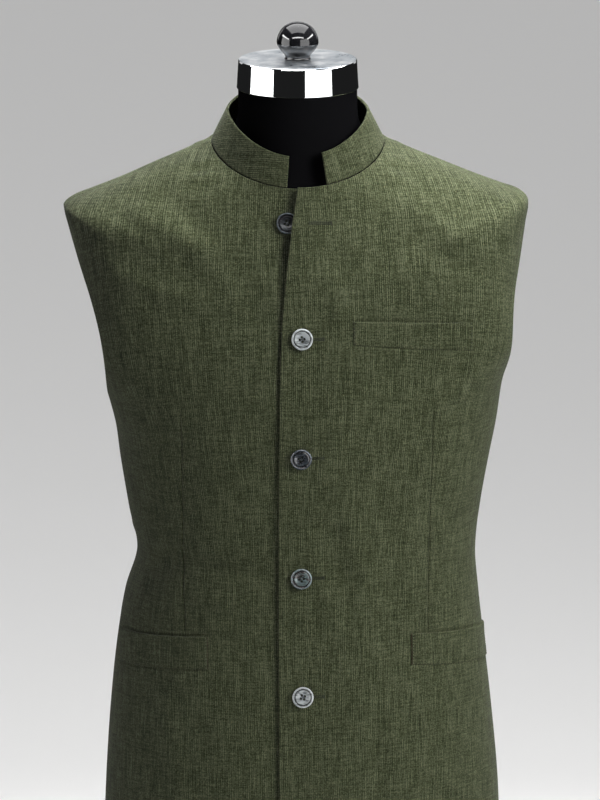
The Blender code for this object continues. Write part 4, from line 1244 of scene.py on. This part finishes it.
# %% Thread
THREAD_TONES = named("name light dark", (
    ("dark_thread", (0.022, 0.026, 0.014), (0.007, 0.009, 0.004)),
    ("pale_thread", (0.110, 0.116, 0.072), (0.045, 0.050, 0.028)),
    ("brown_thread", (0.034, 0.016, 0.011), (0.014, 0.006, 0.004)),
    ("grey_thread", (0.085, 0.092, 0.090), (0.034, 0.038, 0.037)),
))
threads = {}
for row in THREAD_TONES:
    material, net, shader = new_material(row.name)
    twist = net.noise(net.spot((900.0, 900.0, 900.0)), 2.0)
    net.feed(shader.inputs["Base Color"], net.mix(twist, colour(*row.dark), colour(*row.light)))
    net.feed(shader.inputs["Roughness"], net.remap(twist, 0.3, 0.7, 0.8, 0.6))
    shader.inputs["Specular IOR Level"].default_value = 0.2
    threads[row.name] = material
print("threads", list(threads))

# %% [markdown]
# The buttons are shell or horn with cloudy grey streaks, polished, and no two have the same tone. One
# node group makes the clouds, and each button's material gives it a light and a dark colour. The same group
# paints shade into the ring groove as a dark line, and paints a highlight on the outer rim in a lighter rim
# colour.

# %% Pearl
tree, net, given, result = new_group(
    "pearl cloud",
    [("Place", "NodeSocketVector"), ("Centre", "NodeSocketVector"), ("Light", "NodeSocketColor"),
     ("Dark", "NodeSocketColor"), ("Rim", "NodeSocketColor")],
    [("Colour", "NodeSocketColor"), ("Roughness", "NodeSocketFloat")],
)
cloud = net.noise(net.scaled(given["Place"], (110.0, 170.0, 300.0)), 3.0, 0.55, 1.0)
shade = net.remap(cloud, 0.40, 0.58)
from_centre = net.add("ShaderNodeVectorMath", {0: given["Place"], 1: given["Centre"]}, operation="DISTANCE")
radius = net.math("MULTIPLY", from_centre.outputs["Value"], 1000.0)
# Painted shade: along the groove ring the colour is darkened to near black, standing in for shade in the recess.
to_groove = net.math("ABSOLUTE", net.math("SUBTRACT", radius, 7.65))
groove_painted_shade = net.remap(to_groove, 0.25, 0.85, 0.85, 0.0)
# Painted highlight: towards the outer rim the colour is mixed to the lighter rim colour, standing in for light
# glinting on the rim.
rim_painted_highlight = net.remap(radius, 8.5, 9.4, 0.0, 0.5)
body = net.mix(shade, given["Dark"], given["Light"])
body_with_painted_groove_shade = net.mix(groove_painted_shade, body, colour(0.004, 0.004, 0.005))
net.feed(result["Colour"], net.mix(rim_painted_highlight, body_with_painted_groove_shade, given["Rim"]))
net.feed(result["Roughness"], net.remap(cloud, 0.3, 0.7, 0.3, 0.16))
pearl_group = tree

# Each button's rim colour is a painted highlight, lighter than its own tones; light and dark are the clouds' own
# colours.
PEARL_TONES = named("name polish light dark rim", (
    ("button_1", 0.12, (0.030, 0.034, 0.036), (0.007, 0.007, 0.008), (0.090, 0.110, 0.120)),
    ("button_2", 1.0, (0.230, 0.252, 0.256), (0.050, 0.056, 0.058), (0.400, 0.430, 0.430)),
    ("button_3", 1.0, (0.026, 0.031, 0.036), (0.008, 0.009, 0.012), (0.055, 0.072, 0.085)),
    ("button_4", 1.0, (0.072, 0.098, 0.098), (0.020, 0.015, 0.013), (0.130, 0.175, 0.185)),
    ("button_5", 1.0, (0.265, 0.285, 0.288), (0.060, 0.066, 0.070), (0.430, 0.455, 0.455)),
))
pearls = {}
for row in PEARL_TONES:
    material, net, shader = new_material("pearl_" + row.name[-1])
    clouds = net.add("ShaderNodeGroup", {"Place": net.spot()}, node_tree=pearl_group)
    clouds.inputs["Centre"].default_value = button_frames[row.name] @ Vector((0.0, 0.0, 2.5 * MM))
    clouds.inputs["Light"].default_value = colour(*row.light)
    clouds.inputs["Rim"].default_value = colour(*row.rim)
    clouds.inputs["Dark"].default_value = colour(*row.dark)
    net.feed(shader.inputs["Base Color"], clouds.outputs["Colour"])
    net.feed(shader.inputs["Roughness"], clouds.outputs["Roughness"])
    shader.inputs["Specular IOR Level"].default_value = 0.5 * row.polish
    shader.inputs["Coat Weight"].default_value = row.polish
    shader.inputs["Coat Roughness"].default_value = 0.05
    pearls[row.name] = material
print("pearl materials", len(pearls))

# %% [markdown]
# The cap is chrome: a clean mirror on its side, and a more worn one on its flat top, where clouds of fine
# scratches blur what it mirrors. The place on the metal decides which of the two shows.

# %% Chrome
chrome, net, shader = new_material("chrome")
cloudy = net.noise(net.spot((60.0, 60.0, 60.0)), 3.0, 0.6)
height = net.add("ShaderNodeSeparateXYZ", {0: net.spot()}).outputs[2]
CAP_SIDE_HEIGHT = 26.8
on_top = net.math("GREATER_THAN", height, (cap_foot_mm + CAP_SIDE_HEIGHT) * MM)
top_rough = net.math("MULTIPLY", on_top, net.remap(cloudy, 0.3, 0.7, 0.22, 0.36))
net.feed(shader.inputs["Roughness"], net.math("ADD", top_rough, 0.04))
side_colour = colour(0.84, 0.86, 0.87)
top_colour = net.mix(net.remap(cloudy, 0.35, 0.65), colour(0.50, 0.56, 0.62), colour(0.93, 0.95, 0.97))
net.feed(shader.inputs["Base Color"], net.mix(on_top, side_colour, top_colour))
shader.inputs["Metallic"].default_value = 1.0
print("chrome", chrome.name)

# %% [markdown]
# Three things are black. The knob is smooth and glossy, the form is covered in a dull fine knit, and the
# base is painted, with the faint ripple that sprayed paint has.

# %% The three blacks
gloss_black, net, shader = new_material("gloss_black")
smear = net.noise(net.spot(), 3.0)
net.feed(shader.inputs["Roughness"], net.remap(smear, 0.3, 0.7, 0.06, 0.09))
shader.inputs["Base Color"].default_value = colour(0.006, 0.006, 0.007)
shader.inputs["Coat Weight"].default_value = 0.5

form_black, net, shader = new_material("form_black")
grain = net.noise(net.spot((1400.0, 1400.0, 1100.0)), 1.0)
knit_dark = colour(0.0018, 0.0018, 0.0020)
knit_light = colour(0.0042, 0.0042, 0.0046)
net.feed(shader.inputs["Base Color"], net.mix(grain, knit_dark, knit_light))
net.feed(shader.inputs["Roughness"], net.remap(grain, 0.2, 0.8, 0.55, 0.75))
shader.inputs["Specular IOR Level"].default_value = 0.0

painted_black, net, shader = new_material("painted_black")
peel = net.noise(net.spot((500.0, 500.0, 500.0)), 2.0)
bump = net.add("ShaderNodeBump", {"Strength": 0.2, "Distance": 0.0002, "Height": peel})
net.feed(shader.inputs["Normal"], bump.outputs[0])
net.feed(shader.inputs["Roughness"], net.remap(peel, 0.3, 0.7, 0.36, 0.46))
shader.inputs["Base Color"].default_value = colour(0.015, 0.015, 0.016)
print("stand materials", [m.name for m in (chrome, gloss_black, form_black, painted_black)])

# %% [markdown]
# Hand sewing repeats one small stitch along a line, but no two stitches sit quite alike. So one Geometry
# Nodes tree lays copies of a rounded stitch along any path, each stood up from the cloth and turned a
# little. The same tree makes a row of running stitches, the close purl round a buttonhole and the bar at
# its end.

# %% Stitch tree
STITCH_INPUTS = (
    ("Path", "NodeSocketGeometry", None),
    ("Pitch", "NodeSocketFloat", 0.0026),
    ("Length", "NodeSocketFloat", 0.002),
    ("Width", "NodeSocketFloat", 0.0005),
    ("Height", "NodeSocketFloat", 0.0004),
    ("Turn", "NodeSocketFloat", 0.0),
    ("Unevenness", "NodeSocketFloat", 0.1),
    ("Seed", "NodeSocketInt", 1),
    ("Thread", "NodeSocketMaterial", None),
)
stitch_tree = bpy.data.node_groups.new("sewn stitches", "GeometryNodeTree")
stitch_sockets = {}
for label, kind, usual in STITCH_INPUTS:
    socket = stitch_tree.interface.new_socket(label, in_out="INPUT", socket_type=kind)
    if usual is not None:
        socket.default_value = usual
    stitch_sockets[label] = socket.identifier
stitch_tree.interface.new_socket("Stitches", in_out="OUTPUT", socket_type="NodeSocketGeometry")
net = Network(stitch_tree)
given = net.add("NodeGroupInput").outputs
result = net.add("NodeGroupOutput").inputs
curve = net.add("GeometryNodeMeshToCurve", {"Mesh": given["Path"]}).outputs[0]
dots = net.add("GeometryNodeCurveToPoints", {"Curve": curve, "Length": given["Pitch"]}, mode="LENGTH").outputs
away = net.add("GeometryNodeInputNamedAttribute", {"Name": "cloth_out"}, data_type="FLOAT_VECTOR").outputs[0]
upright = net.add("FunctionNodeAlignRotationToVector", {"Vector": away}, axis="Z").outputs[0]
in_line = net.add(
    "FunctionNodeAlignRotationToVector", {"Rotation": upright, "Vector": dots["Tangent"]}, axis="X", pivot_axis="Z"
).outputs[0]
sway = net.add("FunctionNodeRandomValue", {2: -1.0, 3: 1.0, "Seed": given["Seed"]}, data_type="FLOAT").outputs[1]
angle = net.math("ADD", given["Turn"], net.math("MULTIPLY", sway, given["Unevenness"]))
spin = net.add("FunctionNodeAxisAngleToRotation", {"Axis": (0.0, 0.0, 1.0), "Angle": angle}).outputs[0]
turned = net.add(
    "FunctionNodeRotateRotation", {"Rotation": in_line, "Rotate By": spin}, rotation_space="LOCAL"
).outputs[0]
ball = net.add("GeometryNodeMeshUVSphere", {"Segments": 8, "Rings": 6, "Radius": 0.5}).outputs["Mesh"]
stitch_size = net.vector(given["Length"], given["Width"], given["Height"])
stitch = net.add("GeometryNodeTransform", {"Geometry": ball, "Scale": stitch_size}).outputs[0]
growth = net.math("ADD", 1.0, net.math("MULTIPLY", sway, net.math("MULTIPLY", given["Unevenness"], 0.8)))
copies = net.add("GeometryNodeInstanceOnPoints", {
    "Points": dots["Points"], "Instance": stitch, "Rotation": turned, "Scale": net.vector(growth, growth, growth),
}).outputs[0]
real = net.add("GeometryNodeRealizeInstances", {0: copies}).outputs[0]
smooth = net.add("GeometryNodeSetShadeSmooth", {"Geometry": real}).outputs[0]
dressed = net.add("GeometryNodeSetMaterial", {"Geometry": smooth, "Material": given["Thread"]}).outputs[0]
net.feed(result[0], dressed)
print("stitch tree nodes", len(stitch_tree.nodes))

# %% [markdown]
# A path is a line of points, each carrying the way out of the cloth there. Sewing a piece means giving
# its paths to the tree, and keeping the mesh that comes out.

# %% Sew along paths
def sew(name, paths, thread, seed, **sizes):
    """Stitches along paths of (points, outward directions) in millimetres, as one new piece."""
    vertices = np.concatenate([metres(points) for points, outward in paths])
    directions = np.concatenate([outward for points, outward in paths])
    edges = []
    first = 0
    for points, outward in paths:
        edges += [(first + step, first + step + 1) for step in range(len(points) - 1)]
        first += len(points)
    mesh = bpy.data.meshes.new(name)
    mesh.from_pydata(vertices.tolist(), edges, [])
    carried = mesh.attributes.new("cloth_out", "FLOAT_VECTOR", "POINT")
    carried.data.foreach_set("vector", directions.astype(np.float32).ravel())
    thing = bpy.data.objects.new(name, mesh)
    bpy.context.scene.collection.objects.link(thing)
    modifier = thing.modifiers.new("stitches", "NODES")
    modifier.node_group = stitch_tree
    for label, value in sizes.items():
        modifier[stitch_sockets[label]] = value
    modifier[stitch_sockets["Seed"]] = seed
    modifier[stitch_sockets["Thread"]] = threads[thread]
    evaluated = thing.evaluated_get(bpy.context.evaluated_depsgraph_get())
    sewn = bpy.data.meshes.new_from_object(evaluated)
    thing.modifiers.remove(modifier)
    thing.data = sewn
    print(name, "faces", len(sewn.polygons))
    return thing


# %% [markdown]
# Each welt is sewn down through its two ends. The stitches stand just inside the end and sink into the
# cloth.

# %% Stitches on the welts
WELT_ROWS = named("name inset thread pitch seed", (
    ("welt_breast", 1.3, "dark_thread", 0.0027, 11),
    ("welt_left", 0.5, "brown_thread", 0.0021, 12),
    ("welt_left", 2.2, "pale_thread", 0.0027, 14),
    ("welt_right", 0.5, "brown_thread", 0.0021, 13),
    ("welt_right", 2.2, "pale_thread", 0.0027, 15),
))
sewing = {}
sewn_on = {}
for row in WELT_ROWS:
    welt = next(each for each in WELTS if each.name == row.name)
    length = abs(welt.out_run - welt.in_run)
    paths = []
    for part in (row.inset / length, 1.0 - row.inset / length):
        rise = np.linspace(0.04, 0.96, 12)
        top = welt.in_top + (welt.out_top - welt.in_top) * part
        bottom = welt.in_bottom + (welt.out_bottom - welt.in_bottom) * part
        run = np.full(rise.shape, welt.in_run + (welt.out_run - welt.in_run) * part)
        lift = WELT_LIFT + welt_thick(row.inset, rise) + 0.12
        paths.append(on_front(run, bottom + (top - bottom) * rise, welt.panel == "front_left", lift))
    name = "stitches_" + row.name + "_" + str(row.seed)
    sewing[name] = sew(
        name, paths, row.thread, row.seed,
        Pitch=row.pitch, Length=0.0021, Width=0.0006, Height=0.0006, Turn=0.0, Unevenness=0.12,
    )
    sewn_on.setdefault(row.name, []).append(name)

# %% [markdown]
# A buttonhole is a slit whose edges are bound by purl stitches set close together, crosswise, with a bar
# at the end away from the edge. The first one is open, and the button that belongs to it lies under the
# front. The others lie partly under their buttons.

# %% Buttonholes
BUTTONHOLES = named("run_from run_to drop", (
    (6.8, 27.0, 64.5),
    (-3.0, 19.0, 166.0),
    (-3.5, 18.5, 276.5),
    (-3.0, 19.0, 393.5),
    (-2.5, 19.5, 506.5),
))
PURL_OUT = 0.82
purl_paths = []
bar_paths = []
for hole in BUTTONHOLES:
    for side in (-1.0, 1.0):
        runs = np.linspace(hole.run_from, hole.run_to, 16)
        purl_paths.append(on_front(runs, np.full(runs.shape, hole.drop + side * PURL_OUT), True, 0.1))
    drops = np.linspace(hole.drop - 1.7, hole.drop + 1.7, 6)
    bar_paths.append(on_front(np.full(drops.shape, hole.run_to + 0.5), drops, True, 0.14))
sewing["buttonhole_purl"] = sew(
    "buttonhole_purl", purl_paths, "dark_thread", 21,
    Pitch=0.00048, Length=0.00135, Width=0.00046, Height=0.0004, Turn=math.pi / 2, Unevenness=0.16,
)
sewing["buttonhole_bars"] = sew(
    "buttonhole_bars", bar_paths, "dark_thread", 22,
    Pitch=0.00044, Length=0.0014, Width=0.00046, Height=0.0005, Turn=math.pi / 2, Unevenness=0.12,
)

# %% [markdown]
# Each button is held by thread that crosses over its middle and dips into the four holes.

# %% Thread on the buttons
STRAND = np.array([
    (-1.4, 0.0, 1.1), (-1.1, 0.0, 2.1), (-0.5, 0.0, 2.4), (0.5, 0.0, 2.4), (1.1, 0.0, 2.1), (1.4, 0.0, 1.1),
])
thread_paths = []
for name, place in button_frames.items():
    outward = place.to_3x3() @ Vector((0.0, 0.0, 1.0))
    for turn in (0.0, math.pi / 2):
        for shift in (-0.17, 0.17):
            spin = Matrix.Rotation(turn, 4, "Z")
            spots = [place @ spin @ Vector((x * MM, (y + shift) * MM, (z + (0.25 if turn else 0.0)) * MM))
                     for x, y, z in STRAND]
            path = np.array([(spot.x / MM, spot.y / MM, (SHOULDER_HEIGHT - spot.z) / MM) for spot in spots])
            thread_paths.append((path, np.array([outward] * len(path))))
sewing["button_threads"] = sew(
    "button_threads", thread_paths, "grey_thread", 31,
    Pitch=0.00032, Length=0.00056, Width=0.00032, Height=0.00032, Turn=0.35, Unevenness=0.1,
)

# %% [markdown]
# Each finished mesh takes the place of its node of the model and rides on the same body. Every piece is
# given its material.

# %% Put the finished pieces in the model's place
FINISHES = {name: ("linen", linen) for name in cloth}
FINISHES.update({name: ("pearl", pearls[name]) for name in buttons})
FINISHES.update({
    "form_torso": ("form_black", form_black),
    "neck_cap": ("chrome", chrome),
    "pole": ("chrome", chrome),
    "flange_low": ("chrome", chrome),
    "flange_high": ("chrome", chrome),
    "knob": ("gloss_black", gloss_black),
    "base": ("painted_black", painted_black),
})
pieces = {**cloth, **buttons, **stand, "form_torso": form}


def place_piece(thing, node, slot, material):
    thing.name = "fine_" + node
    thing.data.name = thing.name
    thing.data.materials.clear()
    thing.data.materials.append(material)
    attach(thing, "root")
    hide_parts(node)


for node, thing in pieces.items():
    place_piece(thing, node, *FINISHES[node])
for name, thing in sewing.items():
    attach(thing, "root")
print("pieces", len(pieces), "sewn on", list(sewing))

# %% [markdown]
# The jacket hangs on its form, and no piece of its cloth is stretched or bunched. The buttonhole
# stitching is listed as sewn on the left front, and the width, length and area of each sheet's flat cut
# are read back.

# %% The flat cuts
sewn_on["front_left"] = ["buttonhole_purl", "buttonhole_bars"]
for node, thing in cloth.items():
    width, length, area = flat_sizes[node]

# %% [markdown]
# The room is a plain pale floor under soft studio light. A broad light hangs overhead and to the right,
# and a weaker one stands to the left, so the right side of the chest and the tops of the shoulders are
# brighter. Two wide soft suns light the shoulders from the side and from behind. The cards and strips
# light nothing by themselves: they stand round and above the form where the chrome, the knob and the
# buttons mirror them.

# %% Floor and light
floor_mesh = bpy.data.meshes.new("floor")
FLOOR_RADIUS = 60.0
FLOOR_SIDES = 96
turns = [math.tau * step / FLOOR_SIDES for step in range(FLOOR_SIDES)]
floor_points = [(FLOOR_RADIUS * math.cos(turn), FLOOR_RADIUS * math.sin(turn), 0.0) for turn in turns]
floor_mesh.from_pydata(floor_points, [], [list(range(FLOOR_SIDES))])
floor = bpy.data.objects.new("floor", floor_mesh)
bpy.context.scene.collection.objects.link(floor)
pale_floor, net, shader = new_material("pale_floor")
shader.inputs["Base Color"].default_value = colour(0.86, 0.855, 0.85)
shader.inputs["Roughness"].default_value = 0.9
shader.inputs["Specular IOR Level"].default_value = 0.1
floor_mesh.materials.append(pale_floor)
floor.visible_glossy = False

world = bpy.data.worlds.new("studio")
world.use_nodes = True
bpy.context.scene.world = world
net = Network(world.node_tree)
background = world.node_tree.nodes["Background"]
ray = net.add("ShaderNodeLightPath")
dim_for_gloss = net.math("MULTIPLY", ray.outputs["Is Glossy Ray"], 0.90)
net.feed(background.inputs["Color"], net.mix(dim_for_gloss, colour(0.9, 0.91, 0.92), colour(0.0, 0.0, 0.0)))
background.inputs["Strength"].default_value = 0.138

bpy.context.scene.view_settings.view_transform = "Standard"
bpy.context.scene.view_settings.look = "None"


def aimed(light, place, target):
    """Links a light into the scene at a place, shining at a target and unseen by the camera."""
    bpy.context.scene.collection.objects.link(light)
    light.location = place
    light.rotation_euler = (Vector(target) - Vector(place)).to_track_quat("-Z", "Y").to_euler()
    light.visible_camera = False


SUNS = named("name x y z strength spread", (
    ("sky_right", 3.0, -1.4, 3.0, 0.8, 50.0),
    ("sky_back", -0.4, 3.0, 2.6, 1.6, 60.0),
))
for row in SUNS:
    data = bpy.data.lights.new(row.name, "SUN")
    data.energy = row.strength
    data.angle = math.radians(row.spread)
    light = bpy.data.objects.new(row.name, data)
    aimed(light, (row.x, row.y, row.z), (0.0, 0.0, 0.75))
    light.visible_glossy = False

LIGHTS = named("name x y z to_x to_y to_z wide tall spread power diffuse glossy", (
    ("overhead", 0.14, 0.22, 1.62, 0.08, -0.12, 0.0, 0.8, 0.4, 60.0, 8.0, True, False),
    ("key", 1.62, -1.25, 1.75, 0.0, 0.0, 0.85, 0.9, 1.0, 100.0, 27.0, True, False),
    ("fill", -1.5, -2.2, 1.4, 0.0, 0.0, 0.88, 0.8, 0.8, 90.0, 0.6, True, False),
    ("card_left", -2.9, -0.75, 0.6, 0.0, 0.0, 0.8, 3.0, 3.4, 180.0, 88.0, False, True),
    ("card_right", 1.8, -2.25, 0.6, 0.0, 0.0, 0.8, 2.9, 3.4, 180.0, 80.0, False, True),
    ("card_back", 0.25, 5.2, 2.2, 0.0, 0.0, 0.97, 3.6, 1.8, 180.0, 12.0, False, True),
    ("card_far_left", -3.3, 5.0, 1.9, 0.0, 0.0, 0.97, 1.8, 2.6, 180.0, 9.0, False, True),
    ("card_far_right", 3.3, 5.0, 1.9, 0.0, 0.0, 0.97, 1.8, 2.6, 180.0, 9.0, False, True),
    ("card_top", 0.0, 0.4, 3.1, 0.0, 0.0, 0.97, 3.4, 3.4, 180.0, 105.0, False, True),
    ("strip_front", 0.0, -2.5, 2.8, 0.0, 0.0, 0.97, 3.6, 0.3, 180.0, 52.0, False, True),
    ("strip_left", -3.0, -0.3, 2.3, 0.0, 0.0, 0.97, 3.2, 0.3, 180.0, 40.0, False, True),
    ("strip_right", 3.0, -0.3, 2.3, 0.0, 0.0, 0.97, 3.2, 0.3, 180.0, 40.0, False, True),
))
for row in LIGHTS:
    data = bpy.data.lights.new(row.name, "AREA")
    data.shape = "RECTANGLE"
    data.size = row.wide
    data.size_y = row.tall
    data.energy = row.power
    data.spread = math.radians(row.spread)
    light = bpy.data.objects.new(row.name, data)
    aimed(light, (row.x, row.y, row.z), (row.to_x, row.to_y, row.to_z))
    light.visible_diffuse = row.diffuse
    light.visible_glossy = row.glossy
print("lights", len(SUNS) + len(LIGHTS))
